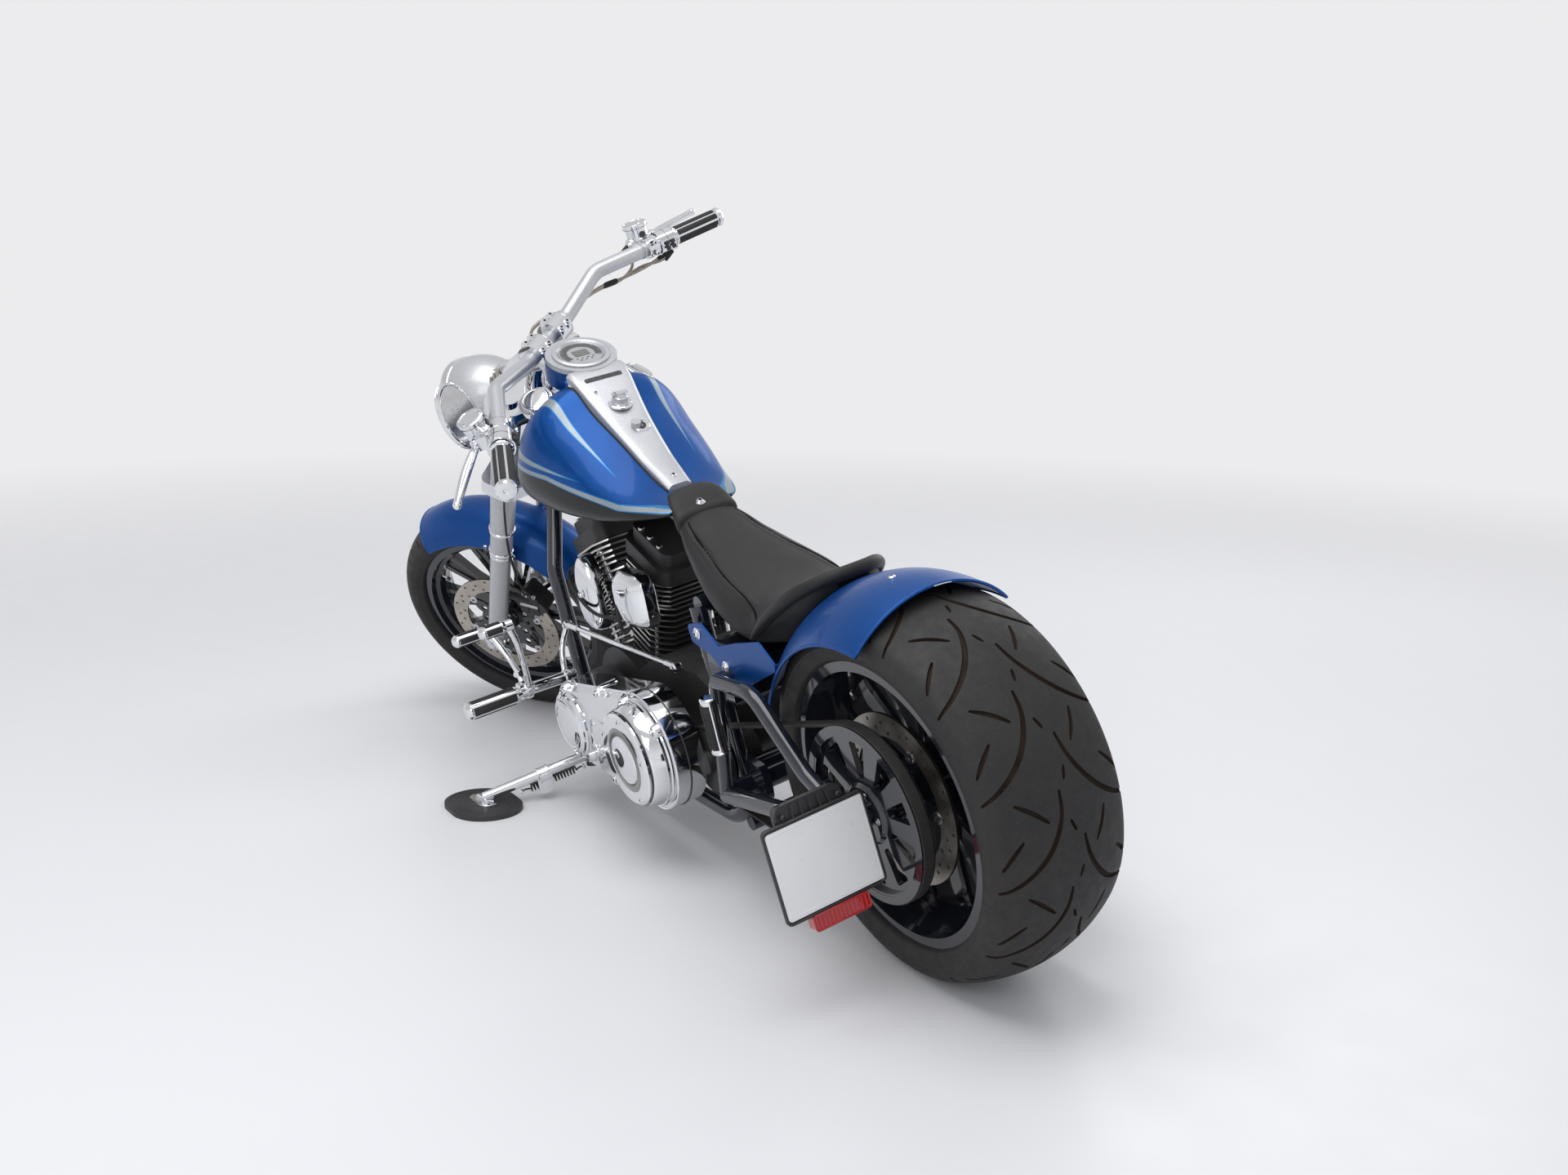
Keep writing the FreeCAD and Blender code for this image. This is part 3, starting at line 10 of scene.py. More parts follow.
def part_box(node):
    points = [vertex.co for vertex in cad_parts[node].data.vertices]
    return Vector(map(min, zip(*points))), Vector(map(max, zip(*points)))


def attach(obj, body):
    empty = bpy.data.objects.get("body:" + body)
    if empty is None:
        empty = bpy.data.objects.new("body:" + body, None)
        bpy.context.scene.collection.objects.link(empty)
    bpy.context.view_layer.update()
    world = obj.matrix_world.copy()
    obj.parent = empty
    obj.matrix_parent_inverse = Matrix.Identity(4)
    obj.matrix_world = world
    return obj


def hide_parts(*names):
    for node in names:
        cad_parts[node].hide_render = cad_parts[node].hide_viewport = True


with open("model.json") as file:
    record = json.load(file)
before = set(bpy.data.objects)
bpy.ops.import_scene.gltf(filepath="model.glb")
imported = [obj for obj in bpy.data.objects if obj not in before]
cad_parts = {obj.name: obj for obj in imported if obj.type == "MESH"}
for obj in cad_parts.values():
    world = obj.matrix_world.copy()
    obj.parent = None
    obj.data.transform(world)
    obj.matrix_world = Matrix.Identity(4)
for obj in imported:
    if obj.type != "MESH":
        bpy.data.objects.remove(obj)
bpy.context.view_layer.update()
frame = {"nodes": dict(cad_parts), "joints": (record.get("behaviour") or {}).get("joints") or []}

nodes = frame["nodes"]
joints = {joint["name"]: joint for joint in frame["joints"]}
print("frame loaded:", len(nodes), "nodes")

# Millimetres on the upright machine: x forward from the rear axle, y to the rider's left, z up
stance = {"rake": 35, "wheelbase": 1706, "trail": 145, "rearRadius": 324, "frontRadius": 308}
forkUp = -Vector(joints["steering_turn"]["axis"]).normalized()
sinRake, cosRake = sin(radians(stance["rake"])), cos(radians(stance["rake"]))
mm = 0.001


def vec(*values):
    return Vector(values)


xAxis, yAxis, zAxis = vec(1, 0, 0), vec(0, 1, 0), vec(0, 0, 1)
forkDirection, forkForward = vec(-sinRake, 0, cosRake), vec(cosRake, 0, sinRake)
rearAxle = vec(0, 0, stance["rearRadius"])
frontAxle = vec(stance["wheelbase"], 0, stance["frontRadius"])


def axesFromAxle(jointName, axle):
    left = Vector(joints[jointName]["axis"]).normalized()
    ahead = left.cross(forkUp)
    forward = ahead * cosRake - forkUp * sinRake
    up = ahead * sinRake + forkUp * cosRake
    matrix = (Matrix((forward, left, up)).transposed() * mm).to_4x4()
    matrix.translation = Vector(joints[jointName]["pos_m"]) - (forward * axle.x + up * axle.z) * mm
    return matrix


# The frame that each body's pieces are drawn in; both wheels are drawn about their axles
chassis = axesFromAxle("rear_wheel_spin", rearAxle)
steered = axesFromAxle("front_wheel_spin", frontAxle)
bodyFrames = {"root": chassis, "steering": steered, "rear_wheel": chassis @ Matrix.Translation(rearAxle),
    "front_wheel": steered @ Matrix.Translation(frontAxle)}
floorFrame = Matrix.Scale(mm, 4)


def forkPoint(along, forward=0, left=0):
    base = stance["wheelbase"] + stance["trail"]
    return vec(base - along * sinRake + forward * cosRake, left, along * cosRake + forward * sinRake)


# The makers below add vertices, faces and material numbers to the build, which the next piece takes
build = {"verts": [], "faces": [], "mats": []}


def put(verts, faces, mat=0):
    start = len(build["verts"])
    build["verts"].extend(verts)
    build["faces"].extend(tuple(start + i for i in face) for face in faces)
    build["mats"].extend([mat] * len(faces))


def sideAxes(axis):
    axis = axis.normalized()
    helper = zAxis if abs(axis.z) < 0.9 else xAxis
    u = helper.cross(axis).normalized()
    return u, axis.cross(u).normalized()


# Cosine and sine of each of count equal turns, which a phase can shift by a share of a turn
def turns(count, phase=0):
    return [(cos(a), sin(a)) for a in (2 * pi * (k + phase) / count for k in range(count))]


def turnAt(degrees):
    return cos(radians(degrees)), sin(radians(degrees))


# A point on a circle about x and z, in the plane of the wheels
def sidePoint(radius, turn, y=0, x=0, z=0):
    return vec(x + radius * turn[0], y, z + radius * turn[1])


def rectangle(x0, x1, y0, y1):
    return [(x0, y0), (x1, y0), (x1, y1), (x0, y1)]


# A turned form: the profile is (distance along the axis, radius)
def lathe(profile, base, axis, steps=32, mat=0, closed=False):
    axis = axis.normalized()
    u, v = sideAxes(axis)
    verts, rings, faces = [], [], []
    for along, radius in profile:
        count = steps if radius > 1e-6 else 1
        rings.append([len(verts) + i % count for i in range(steps)])
        for i in range(count):
            angle = radians(360 * i / steps)
            verts.append(base + axis * along + (u * cos(angle) + v * sin(angle)) * radius)
    if closed:
        rings.append(rings[0])
    for low, high in zip(rings, rings[1:]):
        for i in range(steps):
            j = (i + 1) % steps
            face = tuple(dict.fromkeys((low[i], low[j], high[j], high[i])))
            if len(face) > 2:
                faces.append(face)
    put(verts, faces, mat)


def rod(start, end, radius, steps=16, chamfer=0, mat=0):
    length = (end - start).length
    c = min(chamfer, length * 0.4, radius * 0.6)
    profile = [(0, 0), (0, radius - c), (c, radius), (length - c, radius), (length, radius - c), (length, 0)]
    lathe(profile if c else [(0, 0), (0, radius), (length, radius), (length, 0)], start, end - start, steps,
        mat)


def loft(rings, mat=0, capped=True, closed=False):
    count = len(rings[0])
    faces = []
    for r in range(len(rings) if closed else len(rings) - 1):
        low, high = r * count, (r + 1) % len(rings) * count
        faces += [(low + i, low + (i + 1) % count, high + (i + 1) % count, high + i) for i in range(count)]
    if capped and not closed:
        faces += [tuple(reversed(range(count))), tuple(range((len(rings) - 1) * count, len(rings) * count))]
    put([p for ring in rings for p in ring], faces, mat)


# A tube follows its points with a frame carried from ring to ring
def tube(points, radius, steps=12, mat=0, closed=False, flat=1, up=None):
    count = len(points)
    u, rings = up, []
    for i, point in enumerate(points):
        ahead = points[(i + 1) % count if closed else min(i + 1, count - 1)]
        back = points[i - 1 if closed else max(i - 1, 0)]
        tangent = (ahead - back).normalized()
        u = sideAxes(tangent)[0] if u is None else u
        u = (u - tangent * u.dot(tangent)).normalized()
        v = tangent.cross(u)
        size = radius[i] if isinstance(radius, (list, tuple)) else radius
        rings.append([point + u * c * size + v * s * size * flat for c, s in turns(steps)])
    loft(rings, mat, closed=closed)


def smoothPath(points, perSpan=8):
    points, path = [Vector(p) for p in points], []
    for i in range(len(points) - 1):
        a, b, c, d = (points[min(max(i + k - 1, 0), len(points) - 1)] for k in range(4))
        for k in range(perSpan):
            t = k / perSpan
            path.append(0.5 * ((2 * b) + (c - a) * t + (2 * a - 5 * b + 4 * c - d) * t * t +
                (3 * b - a - 3 * c + d) * t * t * t))
    return path + [points[-1]]


# A flat outline with its corners rounded
def roundCorners(outline, radius, steps=5):
    result = []
    count = len(outline)
    for i in range(count):
        here = Vector(outline[i])
        back = Vector(outline[i - 1]) - here
        ahead = Vector(outline[(i + 1) % count]) - here
        size = radius[i] if isinstance(radius, (list, tuple)) else radius
        turn = back.angle(ahead)
        if size <= 0 or turn > 3.1:
            result.append(tuple(here))
            continue
        cut = min(size / tan(turn / 2), back.length * 0.49, ahead.length * 0.49)
        first, last = here + back.normalized() * cut, here + ahead.normalized() * cut
        result += [tuple(first * (1 - t) ** 2 + here * 2 * t * (1 - t) + last * t * t)
            for t in (k / steps for k in range(steps + 1))]
    return result


def softBox(halfWide, halfTall, radius, steps):
    return roundCorners(rectangle(-halfWide, halfWide, -halfTall, halfTall), radius, steps)


def insetOutline(outline, amount):
    area = sum(outline[i - 1][0] * p[1] - p[0] * outline[i - 1][1] for i, p in enumerate(outline))
    sign = 1 if area > 0 else -1
    result = []
    for i in range(len(outline)):
        here = Vector(outline[i])
        a = (here - Vector(outline[i - 1])).normalized()
        b = (Vector(outline[(i + 1) % len(outline)]) - here).normalized()
        normal = vec(-a.y - b.y, a.x + b.x) * sign
        if normal.length < 1e-9:
            normal = vec(-a.y, a.x) * sign
        result.append(tuple(here + normal.normalized() * amount))
    return result


# A plate with softened edges, raised along the normal from its outline
def plate(outline, origin, u, v, thickness, edge=1, mat=0):
    normal = u.cross(v).normalized()
    low = insetOutline(outline, edge)
    levels = ((low, 0), (outline, edge), (outline, thickness - edge), (low, thickness))
    loft([[origin + u * x + v * y + normal * height for x, y in ring] for ring, height in levels], mat)


# Screw heads: a socket cap, a low button with a hexagon recess, or a hexagon nut on its washer
def screw(base, axis, radius, height, kind="socket", mat=0, dark=None):
    axis = axis.normalized()
    u, v = sideAxes(axis)
    if kind == "hex":
        washer = height * 0.18
        lathe([(0, 0), (0, radius * 1.25), (washer, radius * 1.25), (washer, 0)], base, axis, 20, mat)
        flat = [(radius * c, radius * s) for c, s in turns(6)]
        plate(flat, base + axis * height * 0.18, u, v, height * 0.82, radius * 0.12, mat)
        return
    wall, crown = (0.85, 0.92) if kind == "socket" else (0.3, 0.62)
    lathe([(-0.3, radius), (height * wall, radius), (height, radius * crown), (height, radius * 0.56)],
        base, axis, 20, mat)
    hexagon = [(radius * 0.52 * c, radius * 0.52 * s) for c, s in turns(6)]
    circle = [(radius * 0.56 * c, radius * 0.56 * s) for c, s in turns(18)]
    verts = [base + axis * height + u * x + v * y for x, y in circle + hexagon]
    verts += [base + axis * height * 0.35 + u * x + v * y for x, y in hexagon]
    faces = []
    for k in range(6):
        a, b = 18 + k, 18 + (k + 1) % 6
        ring = [(3 * k + i) % 18 for i in range(4)]
        faces += [(ring[0], ring[1], a), (ring[1], ring[2], a), (ring[2], b, a), (ring[2], ring[3], b)]
    faces += [(18 + k, 18 + (k + 1) % 6, 24 + (k + 1) % 6, 24 + k) for k in range(6)] + [tuple(range(24, 30))]
    put(verts, faces, mat)
    build["mats"][-7:] = [mat if dark is None else dark] * 7


def linkPiece(obj, body, replaced):
    bpy.context.scene.collection.objects.link(obj)
    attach(obj, body)
    if replaced:
        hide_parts(*replaced)
    return obj


# The looks are the names of finishes, in the order of the build's material numbers
def piece(name, body, looksUsed, smooth=32, replaced=(), matrix=None):
    matrix = matrix or bodyFrames[body]
    mesh = bpy.data.meshes.new(name)
    mesh.from_pydata([matrix @ Vector(p) for p in build["verts"]], [], build["faces"])
    for look in looksUsed.split():
        mesh.materials.append(finishes[look])
    if len(mesh.materials) > 1:
        mesh.polygons.foreach_set("material_index", build["mats"])
    mesh.shade_smooth()
    mesh.set_sharp_from_angle(angle=radians(smooth))
    mesh.update()
    for values in build.values():
        values.clear()
    return linkPiece(bpy.data.objects.new(name, mesh), body, replaced)


# Finishes: every one has its own colour drift, roughness drift and fine relief.
# The helpers add to tree, the one that shaderTree or makeWorld began last
tree = None


def fill(node, inputs):
    for key, value in inputs.items():
        socket = node.inputs[int(key[1:]) if key[1:].isdigit() else key.replace("_", " ")]
        if isinstance(value, bpy.types.NodeSocket):
            tree.links.new(value, socket)
        else:
            socket.default_value = (*value, 1) if socket.type == "RGBA" else value


# Adds a node; an input is a socket's name with _ for a space, or i and its number
def add(kind, settings=None, **inputs):
    node = tree.nodes.new("ShaderNode" + kind)
    for key, value in (settings or {}).items():
        setattr(node, key, value)
    fill(node, inputs)
    return node


def shaderTree(name):
    global tree
    material = bpy.data.materials.new(name)
    material.use_nodes = True
    tree = material.node_tree
    tree.nodes.clear()
    shader = add("BsdfPrincipled")
    add("OutputMaterial", i0=shader.outputs[0])
    add("TexCoord")
    return material


# Feeds the sockets of the shader
def feed(**inputs):
    fill(tree.nodes["Principled BSDF"], inputs)


def coords():
    return tree.nodes["Texture Coordinate"].outputs["Object"]


def noise(scale, detail=3, roughness=0.55):
    return add("TexNoise", Vector=coords(), Scale=scale, Detail=detail, Roughness=roughness,
        Distortion=0).outputs["Fac"]


def remap(value, low, high, first=0, last=1):
    return add("MapRange", {"clamp": True}, Value=value, From_Min=low, From_Max=high, To_Min=first,
        To_Max=last).outputs["Result"]


# Noise spread over a range
def drift(scale, detail, low, high, first=0, last=1, roughness=0.55):
    return remap(noise(scale, detail, roughness), low, high, first, last)


def maths(operation, a, b=0, c=0):
    return add("Math", {"operation": operation}, i0=a, i1=b, i2=c).outputs[0]


# a times b plus c
def fused(a, b, c):
    return maths("MULTIPLY_ADD", a, b, c)


def scaled(vector, factor):
    return add("VectorMath", {"operation": "SCALE"}, i0=vector, Scale=factor).outputs[0]


def mix(factor, a, b):
    return add("Mix", {"data_type": "RGBA"}, i0=factor, i6=a, i7=b).outputs[2]


def relief(height, depth, strength=0.5):
    feed(Normal=add("Bump", Height=height, Strength=strength, Distance=depth).outputs[0])


def flakes(colour, scale, amount):
    cells = add("TexVoronoi", Vector=coords(), Scale=scale).outputs["Color"]
    value = add("SeparateColor", Color=cells).outputs[0]
    return scaled(colour, remap(value, 0, 1, 1 - amount, 1 + amount))


# look: two colours that drift into each other, metal, rough range, coat, relief scale and depth
def finish(name, look):
    material = shaderTree(name)
    colour = mix(drift(look.get("patch", 14), 4, 0.36, 0.64), look["colour"], look["second"])
    if "sparkle" in look:
        colour = flakes(colour, 1500, look["sparkle"])
    rough = drift(look.get("smudge", 38), 5, 0.3, 0.7, *look["rough"], 0.62)
    feed(Base_Color=colour, Roughness=rough, Metallic=look.get("metal", 0), Coat_Weight=look.get("coat", 0),
        Coat_Roughness=look.get("coatRough", 0.03), Specular_IOR_Level=look.get("specular", 0.5))
    relief(noise(look["grain"], 2, 0.5), look["depth"], look.get("strength", 0.5))
    return material


underGlass = {"coat": 1, "coatRough": 0.02, "grain": 900}
lens = {"coat": 0.8, "grain": 300, "depth": 0.0002, "strength": 0.3}
looks = {
    "chrome": {"colour": (0.8, 0.81, 0.83), "second": (0.74, 0.75, 0.78), "metal": 1, "rough": (0.035, 0.1),
        "grain": 22, "depth": 0.0002, "strength": 0.25, "smudge": 30},
    "brightSteel": {"colour": (0.6, 0.6, 0.61), "second": (0.5, 0.5, 0.51), "metal": 1,
        "rough": (0.2, 0.34), "grain": 900, "depth": 0.00005, "smudge": 90},
    "silverPaint": {"colour": (0.5, 0.51, 0.53), "second": (0.46, 0.47, 0.49), "metal": 0.55,
        "rough": (0.34, 0.42), "coat": 0.55, "sparkle": 0.16, "grain": 60, "depth": 0.00004,
        "strength": 0.3, "patch": 5},
    "glossBlack": {"colour": (0.01, 0.011, 0.016), "second": (0.014, 0.015, 0.021), "rough": (0.06, 0.14),
        "coat": 0.6, "grain": 70, "depth": 0.00006, "strength": 0.4, "smudge": 24},
    "frameBlack": {"colour": (0.008, 0.01, 0.018), "second": (0.012, 0.014, 0.026), "rough": (0.1, 0.2),
        "coat": 0.7, "grain": 80, "depth": 0.00008, "strength": 0.4, "smudge": 20},
    "satinBlack": {"colour": (0.018, 0.018, 0.019), "second": (0.026, 0.026, 0.027), "rough": (0.34, 0.5),
        "grain": 700, "depth": 0.00008, "smudge": 30},
    "mouldedBlack": {"colour": (0.022, 0.022, 0.023), "second": (0.032, 0.032, 0.033),
        "rough": (0.48, 0.62), "grain": 1400, "depth": 0.00012, "smudge": 60},
    "gripRubber": {"colour": (0.02, 0.02, 0.02), "second": (0.03, 0.03, 0.03), "rough": (0.62, 0.78),
        "grain": 1100, "depth": 0.0001, "specular": 0.35},
    "redLens": {"colour": (0.42, 0.01, 0.014), "second": (0.36, 0.008, 0.012), "rough": (0.06, 0.12),
        **lens},
    "amberLens": {"colour": (0.62, 0.22, 0.02), "second": (0.52, 0.17, 0.01), "rough": (0.08, 0.14),
        **lens},
    "clearLens": {"colour": (0.72, 0.74, 0.76), "second": (0.66, 0.68, 0.7), "metal": 0.7,
        "rough": (0.05, 0.1), "coat": 1, "grain": 120, "depth": 0.0004},
    "plateWhite": {"colour": (0.8, 0.8, 0.8), "second": (0.76, 0.76, 0.77), "rough": (0.26, 0.4),
        "grain": 500, "depth": 0.00003, "patch": 9},
    "dialFace": {"colour": (0.34, 0.35, 0.35), "second": (0.31, 0.32, 0.32), "rough": (0.3, 0.4),
        "depth": 0.00002, "patch": 40, **underGlass},
    "displayGrey": {"colour": (0.105, 0.115, 0.095), "second": (0.095, 0.1, 0.085), "rough": (0.25, 0.35),
        "depth": 0.00002, **underGlass},
    "dialBlack": {"colour": (0.02, 0.02, 0.021), "second": (0.03, 0.03, 0.031), "rough": (0.25, 0.35),
        "depth": 0.00003, **underGlass},
    # A near-black, dull finish for the cord in the seat's seams: painted shade of the seam's crease
    "seamBlack": {"colour": (0.0025, 0.0025, 0.003), "second": (0.004, 0.004, 0.0045),
        "rough": (0.85, 0.95), "grain": 900, "depth": 0.0001, "specular": 0.12},
    "brownGroove": {"colour": (0.02, 0.014, 0.01), "second": (0.034, 0.022, 0.015), "rough": (0.8, 0.92),
        "grain": 900, "depth": 0.0002, "specular": 0.2, "patch": 30},
}
finishes = {name: finish(name, look) for name, look in looks.items()}


# Tyre rubber: dull, with fine pores and a trace of dust drifting over it
def tyreRubber():
    material = shaderTree("tyreRubber")
    dust = drift(7, 6, 0.42, 0.7, roughness=0.65)
    speck = drift(260, 4, 0.52, 0.74, 0, 0.5, 0.7)
    colour = mix(dust, (0.0165, 0.0165, 0.0175), (0.026, 0.024, 0.0225))
    feed(Base_Color=mix(speck, colour, (0.04, 0.037, 0.034)), Roughness=drift(55, 4, 0.3, 0.7, 0.56, 0.72),
        Specular_IOR_Level=0.38)
    pores, scuff = noise(900, 3, 0.6), noise(130, 4, 0.6)
    relief(fused(scuff, 1.2, pores), 0.00022)
    return material


# Leather: rounded cells under the finish, finer wrinkles between them
def leather():
    material = shaderTree("seatLeather")
    colour = mix(drift(6, 4, 0.35, 0.68), (0.0095, 0.0095, 0.01), (0.015, 0.0149, 0.0152))
    feed(Base_Color=colour, Roughness=drift(24, 5, 0.3, 0.7, 0.4, 0.54), Specular_IOR_Level=0.32,
        Sheen_Weight=0.05)
    cells = add("TexVoronoi", {"feature": "DISTANCE_TO_EDGE"}, Vector=coords(), Scale=620).outputs[0]
    height = fused(noise(1500), 0.6, remap(cells, 0, 0.16))
    relief(height, 0.00016, 0.55)
    return material


# Machine coordinates in millimetres, read from the surface's own place on the frame
def machinePlace(matrix=chassis):
    inverse = matrix.inverted()
    values = []
    for row in inverse[:3]:
        dot = add("VectorMath", {"operation": "DOT_PRODUCT"}, i0=coords(), i1=tuple(row[:3]))
        values.append(maths("ADD", dot.outputs["Value"], row[3]))
    return values


bluePaint = {"deep": (0.0003, 0.052, 0.23), "bright": (0.0005, 0.073, 0.31), "rough": (0.32, 0.4),
    "metal": 0.45, "sparkle": 0.2, "coat": 0.2, "specular": 0.2}


def paintBase(colour):
    b = bluePaint
    feed(Base_Color=flakes(colour, 1400, b["sparkle"]), Roughness=drift(20, 4, 0.3, 0.7, *b["rough"]),
        Metallic=b["metal"], Coat_Weight=b["coat"], Specular_IOR_Level=b["specular"])
    relief(noise(55, 2), 0.00005, 0.3)


def blueDrift():
    return mix(drift(3.5, 3, 0.35, 0.65), bluePaint["deep"], bluePaint["bright"])


def plainBlue():
    material = shaderTree("bluePaint")
    paintBase(blueDrift())
    return material


# A height read from a side view's curve: stops are (x, z) along the machine
def curveHeight(x, stops):
    first, last = stops[0][0], stops[-1][0]
    lowest, highest = min(stop[1] for stop in stops) - 1, max(stop[1] for stop in stops) + 1
    ramp = add("ValToRGB", Fac=remap(x, first, last))
    elements = ramp.color_ramp.elements
    while len(elements) < len(stops):
        elements.new(0.5)
    for element, (stopX, stopZ) in zip(elements, stops):
        element.position = (stopX - first) / (last - first)
        level = (stopZ - lowest) / (highest - lowest)
        element.color = (level, level, level, 1)
    return remap(ramp.outputs[0], 0, 1, lowest, highest)


tankGraphics = {
    "silver": (0.29, 0.33, 0.35), "edge": (0.02, 0.2, 0.46), "charcoal": (0.026, 0.027, 0.029),
    "band": ((640, 706), (693, 713), (762, 720), (839, 740), (957, 771), (1043, 782), (1130, 792),
        (1215, 800)),
    "bandWidth": 8, "bandEnd": 1.4, "trim": 1.6, "edgeSoft": 0.3,
    "topLance": {"start": (1046, 120), "tip": (838, 94), "half": 10},
    "sideLance": {"start": (1200, 839), "tip": (893, 768), "half": 13},
}


# How far inside a lance a point lies: positive inside, in millimetres
def lanceDepth(a, b, lance):
    start, tip = Vector(lance["start"]), Vector(lance["tip"])
    length = (tip - start).length
    ux, uy = (tip - start) / length
    along = maths("ADD", maths("MULTIPLY", a, ux), fused(b, uy, -(start.x * ux + start.y * uy)))
    across = maths("ADD", maths("MULTIPLY", a, -uy), fused(b, ux, start.x * uy - start.y * ux))
    half = fused(along, -lance["half"] / length, lance["half"])
    inside = maths("SUBTRACT", half, maths("ABSOLUTE", across))
    return fused(maths("LESS_THAN", along, 0), -100, inside)


def tankPaint():
    g = tankGraphics
    material = shaderTree("tankPaint")
    x, y, z = machinePlace()
    side = maths("ABSOLUTE", y)
    top = lanceDepth(x, side, g["topLance"])
    low = lanceDepth(x, z, g["sideLance"])
    low = maths("SUBTRACT", low, remap(side, 90, 134, 22, 0))    # ends on the tank's nose
    below = maths("SUBTRACT", curveHeight(x, g["band"]), z)
    half = remap(x, 650, 750, g["bandEnd"], g["bandWidth"] / 2)
    band = maths("SUBTRACT", half, maths("ABSOLUTE", maths("SUBTRACT", below, half)))
    under = remap(fused(half, -2, below), 0, 0.4)
    # The charcoal is painted darker towards the tank's bottom and lighter near the band: painted shade
    charcoal = scaled(g["charcoal"], remap(z, 665, 780, 0.7, 1.25))
    colour = mix(under, blueDrift(), charcoal)
    for depth in (top, low, band):
        colour = mix(remap(depth, -g["trim"], g["edgeSoft"] - g["trim"]), colour, g["edge"])
        colour = mix(remap(depth, 0, g["edgeSoft"]), colour, g["silver"])
    paintBase(colour)
    return material


# The console's silver stops under the display, where the housing's neck is blue like the tank
consoleNeck = {"lean": 22, "level": 494.5, "behind": 1000, "soft": 0.5}


def consolePaint():
    n = consoleNeck
    material = shaderTree("consolePaint")
    x, _, z = machinePlace()
    lean = radians(n["lean"])
    down = fused(x, sin(lean), maths("MULTIPLY", z, -cos(lean)))
    neck = maths("MULTIPLY", remap(down, -n["level"], n["soft"] - n["level"]),
        remap(x, n["behind"], n["behind"] + n["soft"]))
    silver = looks["silverPaint"]
    silver = mix(drift(5, 4, 0.36, 0.64), silver["colour"], silver["second"])
    paintBase(mix(neck, silver, bluePaint["deep"]))
    return material


# Engine black: wrinkle enamel with the machined metal showing on the fin edges
engineFins = {"crank": (955, 252), "angle": 22.5, "edge": 72.9, "corner": 81, "headStart": 283,
    "headStep": 4.3, "headCorner": 10, "metal": (0.62, 0.61, 0.59)}


def engineBlack(withEdges):
    material = shaderTree("finnedBlack" if withEdges else "engineBlack")
    colour = mix(drift(18, 4, 0.35, 0.65), (0.016, 0.016, 0.017), (0.026, 0.026, 0.027))
    wrinkle = noise(950, 4, 0.65)
    rough = remap(wrinkle, 0.3, 0.7, 0.42, 0.6)
    if withEdges:
        f = engineFins
        x, y, z = machinePlace()
        lean = radians(f["angle"])
        dx = maths("ABSOLUTE", maths("SUBTRACT", x, f["crank"][0]))
        dz = maths("SUBTRACT", z, f["crank"][1])
        along = fused(dx, sin(lean), maths("MULTIPLY", dz, cos(lean)))
        across = fused(dx, cos(lean), maths("MULTIPLY", dz, -sin(lean)))
        head = maths("GREATER_THAN", along, f["headStart"])
        flat = maths("MAXIMUM", maths("ABSOLUTE", across), maths("ABSOLUTE", y))
        flat = fused(head, -f["headStep"], flat)
        squares = fused(across, across, maths("MULTIPLY", y, y))
        corner = fused(head, -f["headCorner"], maths("SQRT", squares))
        edge = maths("MAXIMUM", maths("GREATER_THAN", flat, f["edge"]),
            maths("GREATER_THAN", corner, f["corner"]))
        colour = mix(edge, colour, f["metal"])
        rough = fused(edge, -0.2, rough)
        feed(Metallic=edge)
    feed(Base_Color=colour, Roughness=rough)
    relief(wrinkle, 0.00022)
    return material


# Brake rotors: fine turned lines about the axle and a warm bloom from heat
def discSteel(name, body, tint):
    material = shaderTree(name)
    x, _, z = machinePlace(bodyFrames[body])
    radius = maths("SQRT", fused(x, x, maths("MULTIPLY", z, z)))
    rings = add("TexNoise", {"noise_dimensions": "1D"}, W=radius, Scale=2.4, Detail=4,
        Roughness=0.7).outputs["Fac"]
    colour = mix(drift(16, 3, 0.35, 0.65), tint, tuple(c * 0.74 for c in tint))
    colour = mix(remap(rings, 0.3, 0.7, 0, 0.35), colour, (0.16, 0.14, 0.12))
    feed(Base_Color=colour, Metallic=1, Roughness=remap(rings, 0.3, 0.7, 0.24, 0.42))
    relief(rings, 0.00006)
    return material


# Braided line: crossed wires under a clear sleeve
def braid():
    material = shaderTree("cableBraid")
    waves = []
    for tilt in (0.9, -0.9):
        turned = add("Mapping", Vector=coords(), Rotation=(tilt, tilt * 0.6, 0.4)).outputs[0]
        waves.append(add("TexWave", Vector=turned, Scale=260, Distortion=0.4).outputs["Fac"])
    weave = maths("MAXIMUM", *waves)
    feed(Base_Color=mix(remap(weave, 0.3, 0.9), (0.115, 0.094, 0.072), (0.4, 0.355, 0.3)),
        Roughness=remap(weave, 0.3, 0.9, 0.42, 0.28), Metallic=0.65, Coat_Weight=0.5)
    relief(weave, 0.0003, 0.6)
    return material


# Belt: dark ribbed rubber, a little redder where it is worn
def beltRubber():
    material = shaderTree("beltRubber")
    ribs = add("TexWave", Vector=coords(), Scale=150, Distortion=1).outputs["Fac"]
    feed(Base_Color=mix(drift(40, 4, 0.35, 0.65), (0.012, 0.011, 0.011), (0.02, 0.018, 0.018)),
        Roughness=remap(ribs, 0, 1, 0.6, 0.75))
    relief(ribs, 0.0001)
    return material


